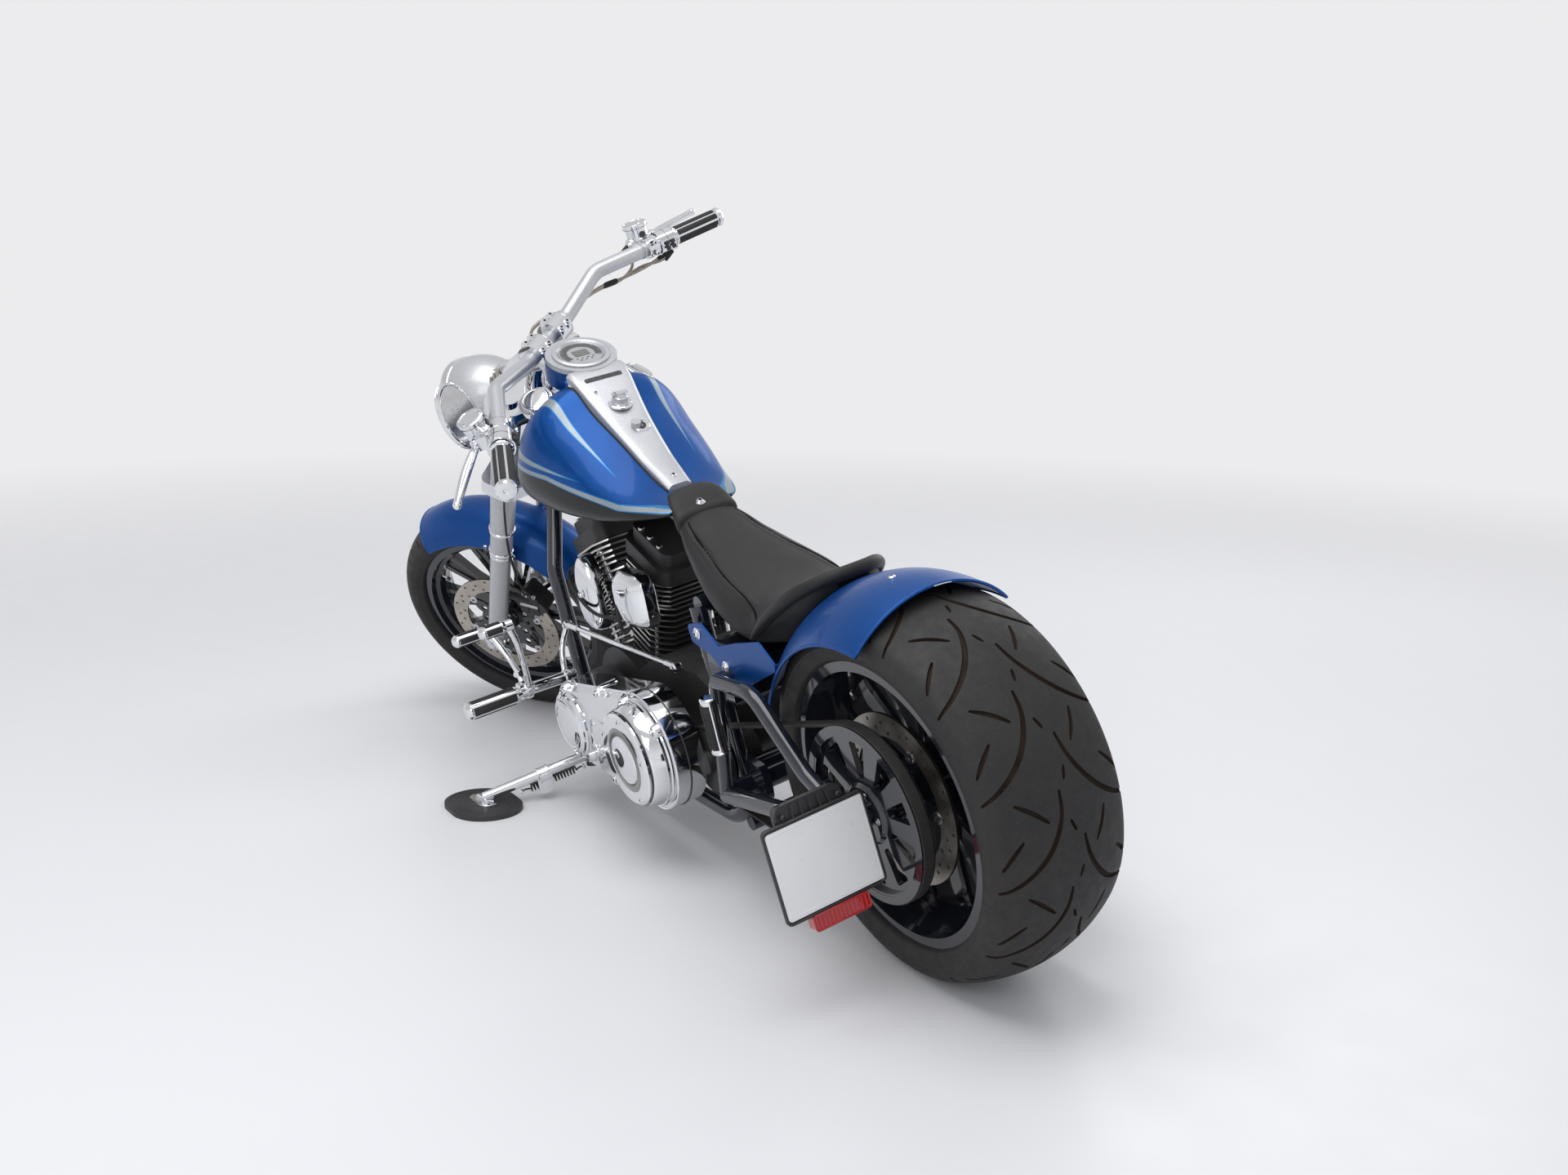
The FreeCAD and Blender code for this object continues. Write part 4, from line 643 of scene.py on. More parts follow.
finishes.update({"tyreRubber": tyreRubber(), "leather": leather(), "blue": plainBlue(), "tank": tankPaint(),
        "console": consolePaint(), "engine": engineBlack(False), "fins": engineBlack(True),
        "rearRotor": discSteel("rearRotor", "rear_wheel", (0.5, 0.46, 0.41)),
        "frontRotor": discSteel("frontRotor", "front_wheel", (0.62, 0.56, 0.5)), "braid": braid(),
        "belt": beltRubber()})
nodesWith = {
    "chrome": "cam-cover primary-cover derby-cover chrome-covers fuel-caps foot-controls foot-pegs "
    "fork-yokes grips hand-controls mirror turn-signals side-stand",
    "satinBlack": "air-cleaner exhaust plate-holder rear-caliper front-caliper",
    "silverPaint": "fork-legs headlight handlebar", "glossBlack": "oil-tank rear-rim rear-pulley front-rim",
    "frameBlack": "frame swingarm", "engine": "engine-cases rocker-covers", "fins": "cylinders",
    "tank": "fuel-tank", "console": "console", "dialBlack": "speedometer", "leather": "seat seat-nose",
    "blue": "rear-fender front-fender", "plateWhite": "number-plate", "redLens": "tail-lamp",
    "belt": "drive-belt", "mouldedBlack": "stand-puck", "braid": "control-cables",
    "tyreRubber": "rear-tyre front-tyre", "rearRotor": "rear-disc", "frontRotor": "front-disc",
}
for finishName, nodeNames in nodesWith.items():
    for nodeName in nodeNames.split():
        mesh = nodes[nodeName].data
        if not mesh.materials:
            mesh.materials.append(None)
        for index in range(len(mesh.materials)):
            mesh.materials[index] = finishes[finishName]
print("finishes:", len(finishes))


# Tyres: a road tread cut into the crown, pitch by pitch, and ringed side walls
rearTyre = {
    "node": "rear-tyre", "body": "rear_wheel", "radius": 324, "half": 126, "bead": 228, "rim": 112,
    "flange": 241, "pitches": 13, "reach": 142, "cell": 8, "depth": 5, "wall": 0.9,
    "grooves": ((((-14, -10), (-20, 26), (-38, 62), (-64, 92), (-98, 116), (-133, 131)), 9.2, 0),
        (((-86, 46), (-106, 66), (-124, 88)), 7.4, 0), (((-88, -12), (-64, 8), (-42, 31)), 7.6, 0),
        (((-7, 38), (0, 58)), 6, 0), (((14, -10), (20, 26), (38, 62), (64, 92), (98, 116), (133, 131)), 9.2,
        0.5), (((86, 46), (106, 66), (124, 88)), 7.4, 0.5), (((64, -36), (53, -12), (37, 12)), 7.6, 0.5),
        (((7, 38), (0, 58)), 6, 0.5),),
}
frontTyre = {
    "node": "front-tyre", "body": "front_wheel", "radius": 308, "half": 65, "bead": 227, "rim": 47,
    "flange": 239, "pitches": 24, "reach": 74, "cell": 7.5, "depth": 4.2, "wall": 0.8,
    "grooves": ((((-9, -8), (-14, 12), (-27, 32), (-46, 46), (-66, 53)), 5, 0),
        (((-38, 4), (-52, 14), (-66, 20)), 4.2, 0), (((9, -8), (14, 12), (27, 32), (46, 46), (66, 53)), 5,
        0.5), (((38, 4), (52, 14), (66, 20)), 4.2, 0.5),),
}
# How far the wall's rings stand out at each of its steps
wallSteps, wallRidges = 12, {2: 0.9, 3: -0.2, 5: 0.7, 6: -0.3, 9: 1.6, 10: 1.8, 11: 0.5}


def circleThrough(a, b, c):
    ab, bc = (a + b) / 2, (b + c) / 2
    d1, d2 = vec(a.y - b.y, b.x - a.x), vec(b.y - c.y, c.x - b.x)
    cross = d1.x * d2.y - d1.y * d2.x
    t = ((bc.x - ab.x) * d2.y - (bc.y - ab.y) * d2.x) / cross
    centre = ab + d1 * t
    return centre, (a - centre).length


# Section of a tyre by the length along its skin from the crown: (side, radius) and outward normal
def tyreSection(tyre):
    wall = tyre["radius"] - tyre["bead"]
    shoulder = vec(0.88 * tyre["half"], tyre["radius"] - 0.27 * wall)
    sag = tyre["radius"] - shoulder.y
    crown = (shoulder.x ** 2 + sag ** 2) / (2 * sag)
    crownEnd = crown * asin(shoulder.x / crown)
    rimPoint = vec(tyre["rim"], tyre["flange"])
    centre, sideRadius = circleThrough(shoulder, vec(tyre["half"], tyre["bead"] + 0.46 * wall), rimPoint)
    first = atan2(shoulder.y - centre.y, shoulder.x - centre.x)
    last = atan2(rimPoint.y - centre.y, rimPoint.x - centre.x)
    total = crownEnd + sideRadius * (first - last)

    def at(length):
        side = copysign(1, length)
        run = min(abs(length), total)
        if run <= crownEnd:
            normal = vec(side * sin(run / crown), cos(run / crown))
            return vec(0, tyre["radius"] - crown) + normal * crown, normal
        angle = first - (run - crownEnd) / sideRadius
        normal = vec(side * cos(angle), sin(angle))
        return vec(side * centre.x, centre.y) + normal * sideRadius, normal
    return at, total


def grooveOutline(line, width, shrink):
    path = smoothPath([vec(u, v, 0) for v, u in line], 4)
    path[0] += (path[1] - path[0]).normalized() * shrink * 1.6
    path[-1] += (path[-2] - path[-1]).normalized() * shrink * 1.6
    lengths = [0]
    for a, b in zip(path, path[1:]):
        lengths.append(lengths[-1] + (b - a).length)
    left, right = [], []
    for i, p in enumerate(path):
        tangent = (path[min(i + 1, len(path) - 1)] - path[max(i - 1, 0)]).normalized()
        normal = vec(-tangent.y, tangent.x, 0)
        t = min(max(lengths[i] / lengths[-1], 0), 1)
        half = width / 2 * (0.45 + 0.55 * sin(pi * t) ** 0.6) - shrink
        left.append(p + normal * half)
        right.append(p - normal * half)
    return [(p.x, p.y) for p in left + right[::-1]]


def insideOutline(x, y, outline):
    inside = False
    for (x0, y0), (x1, y1) in zip(outline, outline[1:] + outline[:1]):
        if (y0 > y) != (y1 > y) and x < x0 + (y - y0) * (x1 - x0) / (y1 - y0):
            inside = not inside
    return inside


def nearOutline(x, y, outline, limit):
    for (x0, y0), (x1, y1) in zip(outline, outline[1:] + outline[:1]):
        dx, dy = x1 - x0, y1 - y0
        t = max(0, min(1, ((x - x0) * dx + (y - y0) * dy) / (dx * dx + dy * dy + 1e-9)))
        if (x - x0 - dx * t) ** 2 + (y - y0 - dy * t) ** 2 < limit * limit:
            return True
    return False


def ringEdges(start, count):
    return [(start + i, start + (i + 1) % count) for i in range(count)]


def makeTyre(tyre):
    at, total = tyreSection(tyre)
    count, reach = tyre["pitches"], tyre["reach"]
    pitch = 2 * pi * tyre["radius"] / count
    columns, rows = round(pitch / tyre["cell"]), round(2 * reach / tyre["cell"])
    local, depths, edges, outer = [], [], [], []
    for line, width, offset in tyre["grooves"]:
        for shrink in (0, tyre["wall"]):
            ring = [(u + offset * pitch, v) for u, v in grooveOutline(line, width, shrink)]
            edges += ringEdges(len(local), len(ring))
            local += ring
            depths += [tyre["depth"] if shrink else 0] * len(ring)
            if not shrink:
                outer += [[(u + k * pitch, v) for u, v in ring] for k in (-1, 0, 1)]
    rim = {}
    for j in range(rows + 1):
        v = -reach + 2 * reach * j / rows
        for i in range(columns):
            u = pitch * i / columns
            if 0 < j < rows:
                u += 0.4 * sin(3.1 * i + 1.7 * j)
                if any(insideOutline(u, v, ring) or nearOutline(u, v, ring, 1.6) for ring in outer):
                    continue
            else:
                rim[(i, j)] = len(local)
            local.append((u, v))
            depths.append(0)
    # One pitch is meshed between its neighbours, and its triangles are repeated round the tyre
    size = len(local)
    spread = [vec(u + k * pitch, v) for k in (-1, 0, 1) for u, v in local]
    links = [(a + k * size, b + k * size) for k in range(3) for a, b in edges]
    found = delaunay_2d_cdt(spread, links, [], 0, 1e-5, True)
    points, triangles, sources = found[0], found[2], found[3]
    verts, faces, mats = [], [], []
    for k in range(count):
        for (u, v), depth in zip(local, depths):
            place, normal = at(v)
            place = place - normal * depth
            angle = (u + k * pitch) / tyre["radius"]
            verts.append(sidePoint(place.y, (cos(angle), sin(angle)), -place.x))
    for triangle in triangles:
        middle = sum(points[i].x for i in triangle) / 3
        if not 0 <= middle < pitch or any(not sources[i] for i in triangle):
            continue
        ids = [(sources[i][0] % size, sources[i][0] // size - 1) for i in triangle]
        a, b, c = (vec(*points[i], 0) for i in triangle)
        if (b - a).cross(c - a).z > 0:
            ids.reverse()
        faces += [tuple((shift + k) % count * size + index for index, shift in ids) for k in range(count)]
        mats += [int(any(depths[index] > 0 for index, _ in ids))] * count
    around = count * columns
    closing = []
    for side, row in ((-1, 0), (1, rows)):
        previous = [k * size + rim[(i, row)] for k in range(count) for i in range(columns)]
        profile = []
        for step in range(1, wallSteps + 1):
            place, normal = at(side * (reach + (total - reach) * step / wallSteps))
            profile.append(place + normal * wallRidges.get(step, 0))
        profile += [vec(side * (tyre["rim"] - 9), radius) for radius in (tyre["flange"], tyre["bead"] + 1)]
        for place in profile:
            current = range(len(verts), len(verts) + around)
            verts += [sidePoint(place.y, turn, -place.x) for turn in turns(around)]
            for i, n in ringEdges(0, around):
                quad = (previous[i], previous[n], current[n], current[i])
                faces.append(quad if side > 0 else quad[::-1])
            previous = current
        closing.append(previous)
    first, last = closing
    faces += [(first[i], first[n], last[n], last[i]) for i, n in ringEdges(0, around)]
    mats += [0] * (len(faces) - len(mats))
    put(verts, faces)
    build["mats"][:] = mats
    piece(tyre["node"] + ".tread", tyre["body"], "tyreRubber brownGroove", 38,
        (tyre["node"],))
    print(tyre["node"], len(faces), "faces, new points:", sum(1 for s in sources if not s))


makeTyre(rearTyre)
makeTyre(frontTyre)


# Brake rotors: a drilled ring with a scalloped inner edge, held by floating buttons on a carrier
def flatRing(outline, holes, y, thickness, mat=0):
    verts, edges = [], []
    for loop in [outline] + holes:
        edges += ringEdges(len(verts), len(loop))
        verts += [Vector(p) for p in loop]
    found = delaunay_2d_cdt(verts, edges, [], 0, 1e-5, True)
    flat, kept = found[0], []
    for triangle in found[2]:
        x, z = (flat[triangle[0]] + flat[triangle[1]] + flat[triangle[2]]) / 3
        if insideOutline(x, z, outline) and not any(insideOutline(x, z, hole) for hole in holes):
            kept.append(tuple(triangle))
    count = len(flat)
    full = [vec(p.x, y + side * thickness / 2, p.y) for side in (-1, 1) for p in flat]
    directed = set()
    for a, b, c in kept:
        directed.update(((a, b), (b, c), (c, a)))
    faces = kept + [tuple(count + i for i in reversed(t)) for t in kept]
    faces += [(b, a, count + a, count + b) for a, b in directed if (b, a) not in directed]
    put(full, faces, mat)


def circleLoop(radius, steps, reach=0, turn=(0, 0)):
    return [(reach * turn[0] + radius * c, reach * turn[1] + radius * s) for c, s in turns(steps)]


rotors = (
    {"node": "rear-disc", "body": "rear_wheel", "side": 82, "hub": 44, "hubEnd": 78, "bore": 26,
        "finish": "rearRotor"},
    {"node": "front-disc", "body": "front_wheel", "side": 70, "hub": 36, "hubEnd": 62, "bore": 22,
        "finish": "frontRotor"},
)
rotorShape = {"outer": 146, "inner": 107, "thickness": 5, "holes": 48, "arms": 6, "wave": 4,
    "drilled": (114.5, 137.5, 122, 130), "drill": 3.3, "carrier": (66, 33), "plateThick": 5.6,
    "windows": ((52, 7.5, 0.5), (68, 8, 0)), "buttons": 101, "bolts": 38}


def makeRotor(rotor):
    s = rotorShape
    y, hub, arms = rotor["side"], rotor["hub"], s["arms"]

    def scalloped(radiusAt):
        angles = [2 * pi * k / 144 for k in range(144)]
        radii = [radiusAt(max(0, cos(angle * arms))) for angle in angles]
        return [(radius * cos(angle), radius * sin(angle)) for radius, angle in zip(radii, angles)]

    holes = [scalloped(lambda wave: s["inner"] - s["wave"] * wave ** 3)]
    for k, turn in enumerate(turns(s["holes"])):
        holes.append(circleLoop(s["drill"], 10, s["drilled"][k % 4], turn))
    flatRing(circleLoop(s["outer"], 120), holes, y, s["thickness"])
    windows = [circleLoop(rotor["bore"], 40)]
    for k in range(arms):
        windows += [circleLoop(size, 14, reach, turns(arms, phase)[k]) for reach, size, phase in s["windows"]]
    carrier = scalloped(lambda wave: s["carrier"][0] + s["carrier"][1] * wave ** 0.8)
    flatRing(carrier, windows, y, s["plateThick"], 1)
    for k, (turn, boltTurn) in enumerate(zip(turns(arms), turns(arms, 0.25))):
        lathe([(0, 3.5), (0, 9), (1.4, 10.5), (7.4, 10.5), (8.8, 9), (8.8, 3.5)],
            sidePoint(s["buttons"], turn, y - 4.4), yAxis, 20, 2, closed=True)
        if k < arms - 1:
            screw(sidePoint(s["bolts"], boltTurn, y + 2.4), yAxis, 5.2, 4, "button", 2, 2)
    lathe([(y, hub - 14), (rotor["hubEnd"], hub - 14), (rotor["hubEnd"], hub - 1), (y, hub + 4)], Vector(),
        yAxis, 48, 1, closed=True)
    piece(rotor["node"] + ".rotor", rotor["body"], rotor["finish"] +
        " glossBlack brightSteel", 30, (rotor["node"],))


for rotor in rotors:
    makeRotor(rotor)

# Toothed belt: the flat back, and teeth on its inner face
belt = {"y": 142, "width": 20, "rear": (0, 324, 145.4), "front": (520, 262, 62.4), "thickness": 6,
    "tooth": 3, "pitch": 11}
toothFaces = [(0, 1, 2, 3), (7, 6, 5, 4), (0, 4, 5, 1), (1, 5, 6, 2), (2, 6, 7, 3)]


def beltPath(inset):
    a, b = Vector(belt["rear"][:2]), Vector(belt["front"][:2])
    ra, rb = belt["rear"][2] + inset, belt["front"][2] + inset
    span = b - a
    lean = asin((ra - rb) / span.length)
    base = atan2(span.y, span.x)
    up, down = base + pi / 2 - lean, base - pi / 2 + lean
    path = []

    def outward(angle):
        return vec(cos(angle), sin(angle))

    def arc(centre, radius, first, last):
        steps = max(6, int(abs(last - first) * radius / 5))
        for k in range(steps + 1):
            normal = outward(first + (last - first) * k / steps)
            path.append((centre + normal * radius, normal))

    def run(angle, end):
        start = path[-1][0]
        path.extend((start.lerp(end, k / 40), outward(angle)) for k in range(1, 40))

    arc(b, rb, up, down)
    run(down, a + outward(down) * ra)
    arc(a, ra, down, up - 2 * pi)
    run(up, b + outward(up) * rb)
    return path


def makeBelt():
    tooth = belt["tooth"] * 0.5
    path = beltPath(tooth)
    half, thick = belt["width"] / 2, belt["thickness"] - tooth
    around = ringEdges(0, len(path))
    section = ((-half, 0), (-half, thick - 0.8), (-half + 0.8, thick), (half - 0.8, thick),
        (half, thick - 0.8), (half, 0))

    def beltPoint(p, side):
        return vec(p.x, belt["y"] + side, p.y)

    put([beltPoint(place + normal * height, side) for place, normal in path for side, height in section],
        [(i * 6 + k, n * 6 + k, n * 6 + m, i * 6 + m) for i, n in around for k, m in ringEdges(0, 6)])
    total = [0]
    for i, n in around:
        total.append(total[-1] + (path[n][0] - path[i][0]).length)
    teeth = int(total[-1] / belt["pitch"])
    index = 0
    for k in range(teeth):
        target = total[-1] * (k + 0.5) / teeth
        while total[index + 1] < target:
            index += 1
        here, normal = path[index]
        ahead = path[(index + 1) % len(path)]
        t = (target - total[index]) / max(total[index + 1] - total[index], 1e-6)
        centre, normal = here.lerp(ahead[0], t), normal.lerp(ahead[1], t).normalized()
        along = vec(-normal.y, normal.x)
        put([beltPoint(centre + along * a + normal * h, side) for side in (-half + 0.3, half - 0.3) for a,
            h in ((-3.4, 0.2), (-2, 0.15 - tooth), (2, 0.15 - tooth), (3.4, 0.2))], toothFaces)
    piece("drive-belt.toothed", "root", "belt", 35, ("drive-belt",))


makeBelt()


# The driven pulley's teeth between two flanges, and its bolts
def makePulleyDetail():
    for c, s in turns(70):
        u, t = vec(c, 0, s), vec(-s, 0, c)
        put([u * r + t * a + yAxis * side for side in (130.6, 153.4) for a,
            r in ((-2.6, 143.6), (-1.7, 145.25), (1.7, 145.25), (2.6, 143.6))],
            [face[::-1] for face in toothFaces])
    for side in (128.4, 153):
        lathe([(0, 136), (0, 148.4), (1, 149.4), (1.6, 149.4), (1.6, 136)], yAxis * side, yAxis, 96,
            closed=True)
    for turn in turns(5, 0.5):
        screw(sidePoint(36, turn, 151.4), yAxis, 6.6, 1.8, "button", 1, 1)
    piece("rear-pulley.teeth", "rear_wheel", "glossBlack brightSteel", 30)


makePulleyDetail()
print("wheels dressed")

# Points on a CAD node's skin, in the machine's own millimetres
skins = {}


def castOn(node, origin, direction):
    if node not in skins:
        back = chassis.inverted()
        mesh = nodes[node].data
        skins[node] = BVHTree.FromPolygons([back @ v.co for v in mesh.vertices],
            [tuple(p.vertices) for p in mesh.polygons])
    return skins[node].ray_cast(Vector(origin), Vector(direction).normalized(), 600)[:2]


# Seat: a dished leather pad with sewn side panels and a rolled rear edge, which lies on the fender.
# Sections are (x, half width, low, edge, top); dish and crest are (x, spread, depth or height)
seatPad = {
    "sections": ((644, 55, 648, 668, 688), (636, 62, 641, 667, 695), (600, 77, 618, 650, 682),
        (560, 90, 597, 628, 664), (510, 105, 577, 606, 646), (460, 117, 557, 585, 633),
        (405, 124, 538, 564, 623), (366, 121, 524, 548, 617), (334, 114, 516, 541, 613),
        (299, 108, 516, 562, 613), (265, 102, 524, 589, 618), (234, 94, 540, 611, 628),
        (206, 82, 562, 629, 640), (184, 67, 586, 642, 650), (168, 49, 608, 650, 656),
        (160, 34, 620, 650, 654)),
    "seam": ((618, 50, 678), (588, 58, 668), (531, 67, 648), (470, 81, 630), (422, 89, 617), (378, 94, 607),
        (344, 98, 598), (322, 104, 582), (314, 109, 556)),
    "roll": ((336, 112, 535), (299, 109, 567), (265, 103, 594), (234, 95, 616), (206, 83, 634),
        (183, 68, 646), (166, 49, 654), (156, 28, 657), (153, 0, 658)),
    "rollSize": (5, 9.5, 11.5, 12.5, 12.5, 12, 12, 12, 12),
    "dish": (355, 95, 9), "crest": (520, 90, 4), "steps": 150, "perSpan": 13, "stitch": 5.2, "fill": 0.75,
    "fender": {"middle": 156.1, "radius": 193.9, "half": 150, "clearance": 0.8},
}


def mirrored(points):
    return [vec(p[0], -p[1], p[2]) for p in points]


# A power of a sine or cosine that keeps its sign, for a rounded box
def squared(value, power):
    return copysign(abs(value) ** power, value)


def aboveFender(p):
    f, rise = seatPad["fender"], p.z - stance["rearRadius"]
    limit = f["middle"] + sqrt(max(f["radius"] ** 2 - min(abs(p.y), f["half"]) ** 2, 0)) + f["clearance"]
    reach = hypot(p.x, rise)
    if reach < limit and abs(p.y) < f["half"]:
        p.x *= limit / reach
        p.z = stance["rearRadius"] + rise * limit / reach
    return p


def makeSeat():
    s = seatPad
    seam = smoothPath(s["seam"], 10)
    both = seam + mirrored(seam)
    seamTree = KDTree(len(both))
    for i, p in enumerate(both):
        seamTree.insert(p, i)
    seamTree.balance()
    rings = []
    for x, half, low, edge, top in smoothPath(s["sections"], s["perSpan"]):
        ring = []
        for c, z in turns(s["steps"], 0.5):
            y = half * squared(c, 0.74)
            p = vec(x, y, edge + (top - edge if z > 0 else edge - low) * squared(z, 0.84))
            if z > 0:
                inner = max(0, 1 - (y / (0.8 * half)) ** 2)
                for (middle, spread, rise), sign in ((s["dish"], -1), (s["crest"], 1)):
                    p.z += sign * rise * inner * exp(-((x - middle) / spread) ** 2)
                gap = seamTree.find(p)[2]
                p.z -= 3.4 * exp(-(gap / 2.6) ** 2)
                p.z += 1.7 * exp(-((gap - 7.5) / 4) ** 2)
            p.z += 0.5 * sin(x * 0.055 + y * 0.03) * sin(y * 0.06)
            ring.append(aboveFender(p))
        rings.append(ring)
    loft([ring[::-1] for ring in rings])
    half = [Vector(p) for p in s["roll"]]
    line, sizes = half + mirrored(half)[-2::-1], s["rollSize"] + s["rollSize"][-2::-1]
    fine = smoothPath([vec(*p, size) for p, size in zip(line, sizes)], 12)
    first = len(build["verts"])
    tube([p.xyz for p in fine], [p.w for p in fine], 28, flat=0.92, up=zAxis)
    build["verts"][first:] = [aboveFender(p) for p in build["verts"][first:]]
    piece("seat.leather", "root", "leather", 60, ("seat",))
    for sign in (1, -1):
        for shift in (3.2, 0):
            placed = []
            for p in [vec(p.x, sign * (p.y + shift), p.z) for p in seam]:
                found = min((abs(v.y - p.y) + abs(v.x - p.x) + 0.35 * abs(v.z - p.z), v.z) for ring in rings
                    if abs(ring[0].x - p.x) < 6 for v in ring if v.z > p.z - 30)
                placed.append(vec(p.x, p.y, found[1] + 0.3))
            # Without a shift, the seam's line is a near-black, dull cord laid in its groove: painted shade of
            # the crease
            if not shift:
                tube([p - zAxis * 0.2 for p in smoothPath(placed[::6] + placed[-1:], 6)], 1.5, 8, 1)
                continue
            run = 0
            for a, b in zip(placed[1:], placed[2:]):
                run += (b - a).length
                if run >= s["stitch"]:
                    run = 0
                    d = (b - a).normalized()
                    tube([a - d * 1.5 - zAxis * 0.5, a + zAxis * 0.1, a + d * 1.5 - zAxis * 0.5], 0.5, 6)
    piece("seat.stitches", "root", "gripRubber seamBlack", 50)


makeSeat()

# The leather apron between the seat and the console, held by one button screw
apron = {
    "sections": ((697, 43, 712, 731), (692, 47, 704, 735), (680, 53, 698, 733), (668, 58, 692, 728),
        (655, 62, 680, 719), (643, 65, 664, 709), (634, 66, 655, 702), (630, 63, 656, 697)),
    "screw": (646, 4, 709.6), "lean": (-0.42, 0, 0.9), "crown": 3.2, "square": 0.42, "fill": 0.9,
}


def makeApron():
    rings = []
    for x, half, low, top in smoothPath(apron["sections"], 5):
        ring = []
        for c, z in turns(60, 0.5):
            y = half * squared(c, apron["square"])
            crown = apron["crown"] * (1 - (y / half) ** 2) - apron["crown"] if z > 0 else 0
            ring.append(vec(x, y, (low + top) / 2 + (top - low) / 2 * squared(z, apron["square"]) + crown))
        rings.append(ring[::-1])
    loft(rings)
    pad = piece("seat-nose.leather", "root", "leather", 55, ("seat-nose",))
    base, axis = Vector(apron["screw"]), Vector(apron["lean"])
    lathe([(-3, 0), (-3, 10.5), (0.2, 10.5), (1, 9.6), (1, 7)], base, axis, 28)
    screw(base + axis.normalized() * 0.9, axis, 7.4, 4.2, "button", 0, 1)
    piece("seat-nose.screw", "root", "chrome satinBlack", 30)


makeApron()
print("seat dressed")

# Console: a bezel, the display with its scale, warning lights, ignition knob, lock and edge trim
dial = {"centre": (1058, 0, 972), "ticks": 41, "reach": 42.6, "arc": 240, "display": (12, 17)}
dialCos, dialSin = turnAt(consoleNeck["lean"])
dialAhead, dialUp = vec(dialCos, 0, dialSin), vec(-dialSin, 0, dialCos)


def dialPoint(ahead, left, above):
    return Vector(dial["centre"]) + dialAhead * ahead + yAxis * left + dialUp * above


def makeDial():
    centre = dialPoint(0, 0, 0)
    lathe([(-1.2, 45.5), (3, 49.5), (5.2, 51.5), (6, 54), (5.4, 57), (3.6, 60), (1, 60.5)], centre, dialUp,
        72)
    lathe([(-2.4, 0), (-2.4, 46), (1, 46), (1.2, 45.2), (1.2, 0)], centre, dialUp, 72, 4)
    plate(softBox(*dial["display"], 3, 4), dialPoint(1, 0, 1.1), dialAhead, yAxis, 0.9, 0.2, 2)
    half = radians(dial["arc"] / 2)
    scale = [(r * cos(a), r * sin(a)) for r, turn in ((43.4, 1), (29, -1))
        for a in (turn * half * (k / 30 - 1) for k in range(61))]
    plate(scale, centre + dialUp * 1.1, dialAhead, yAxis, 0.6, 0.1, 1)
    for k in range(dial["ticks"]):
        c, s = turnAt(-dial["arc"] / 2 + dial["arc"] * k / (dial["ticks"] - 1))
        u = dialAhead * c + yAxis * s
        size, wide = (3.2, 0.3) if k % 5 else (5.5, 0.5)
        plate(rectangle(dial["reach"] - size, dial["reach"], -wide, wide), centre + dialUp * 1.6, u,
            dialUp.cross(u), 0.3, 0.05, 4)
    for k in range(7):
        spot = dialPoint(-20 - 7 * (k % 2), (k - 3) * 6, 1.1)
        lathe([(0, 1.9), (0.5, 1.9), (0.9, 1.2), (1, 0)], spot, dialUp, 14, 3)
    piece("speedometer.face", "root",
        "silverPaint dialBlack displayGrey mouldedBlack dialFace", 30)


makeDial()

# Deck rows are (x, half width, top, depth)
consoleParts = {
    "spine": ((724, 26), (800, 33), (880, 43), (960, 58), (1004, 68)),
    "deck": ((723, 26.5, 735.5, 24), (760, 29.5, 759, 26), (800, 33.5, 784, 28), (840, 38, 814, 30),
        (880, 43.5, 845, 32), (915, 49.5, 875, 34), (945, 55.5, 903, 36), (972, 61, 929, 38),
        (992, 64, 944, 40), (1004, 66, 949, 42)),
    "slot": (972, 42, 5.5), "knob": ((925, 0, 862), (912, 0, 894)), "lock": (866, -12),
    "screws": ((948, 34, 4.2, 2.6), (744, 0, 6.2, 3.2)),
}


def deckAt(x):
    rows = consoleParts["deck"]
    for a, b in zip(rows, rows[1:]):
        if x <= b[0] or b is rows[-1]:
            t = (x - a[0]) / (b[0] - a[0])
            return [p + (q - p) * t for p, q in zip(a, b)]


def consoleTop(x, y):
    low, high = deckAt(x - 4), deckAt(x + 4)
    slope = (high[2] - low[2]) / 8
    return vec(x, y, (low[2] + high[2]) / 2), vec(-slope, 0, 1).normalized()


# The painted deck runs from the seat's apron up to the display's ring, clear of the tank
def makeDeck():
    rings, radii = [], [2, 2, 5, 5, 0, 0, 5, 5]
    for x, half, top, depth in smoothPath(consoleParts["deck"], 5):
        outline = [(-half, top - depth), (half, top - depth), (half, top - 7), (half - 8, top - 0.9),
            (half * 0.5, top), (-half * 0.5, top), (8 - half, top - 0.9), (-half, top - 7)]
        rings.append([vec(x, y, z) for y, z in reversed(roundCorners(outline, radii, 4))])
    loft(rings)
    piece("console.deck", "root", "silverPaint", 28)


makeDeck()


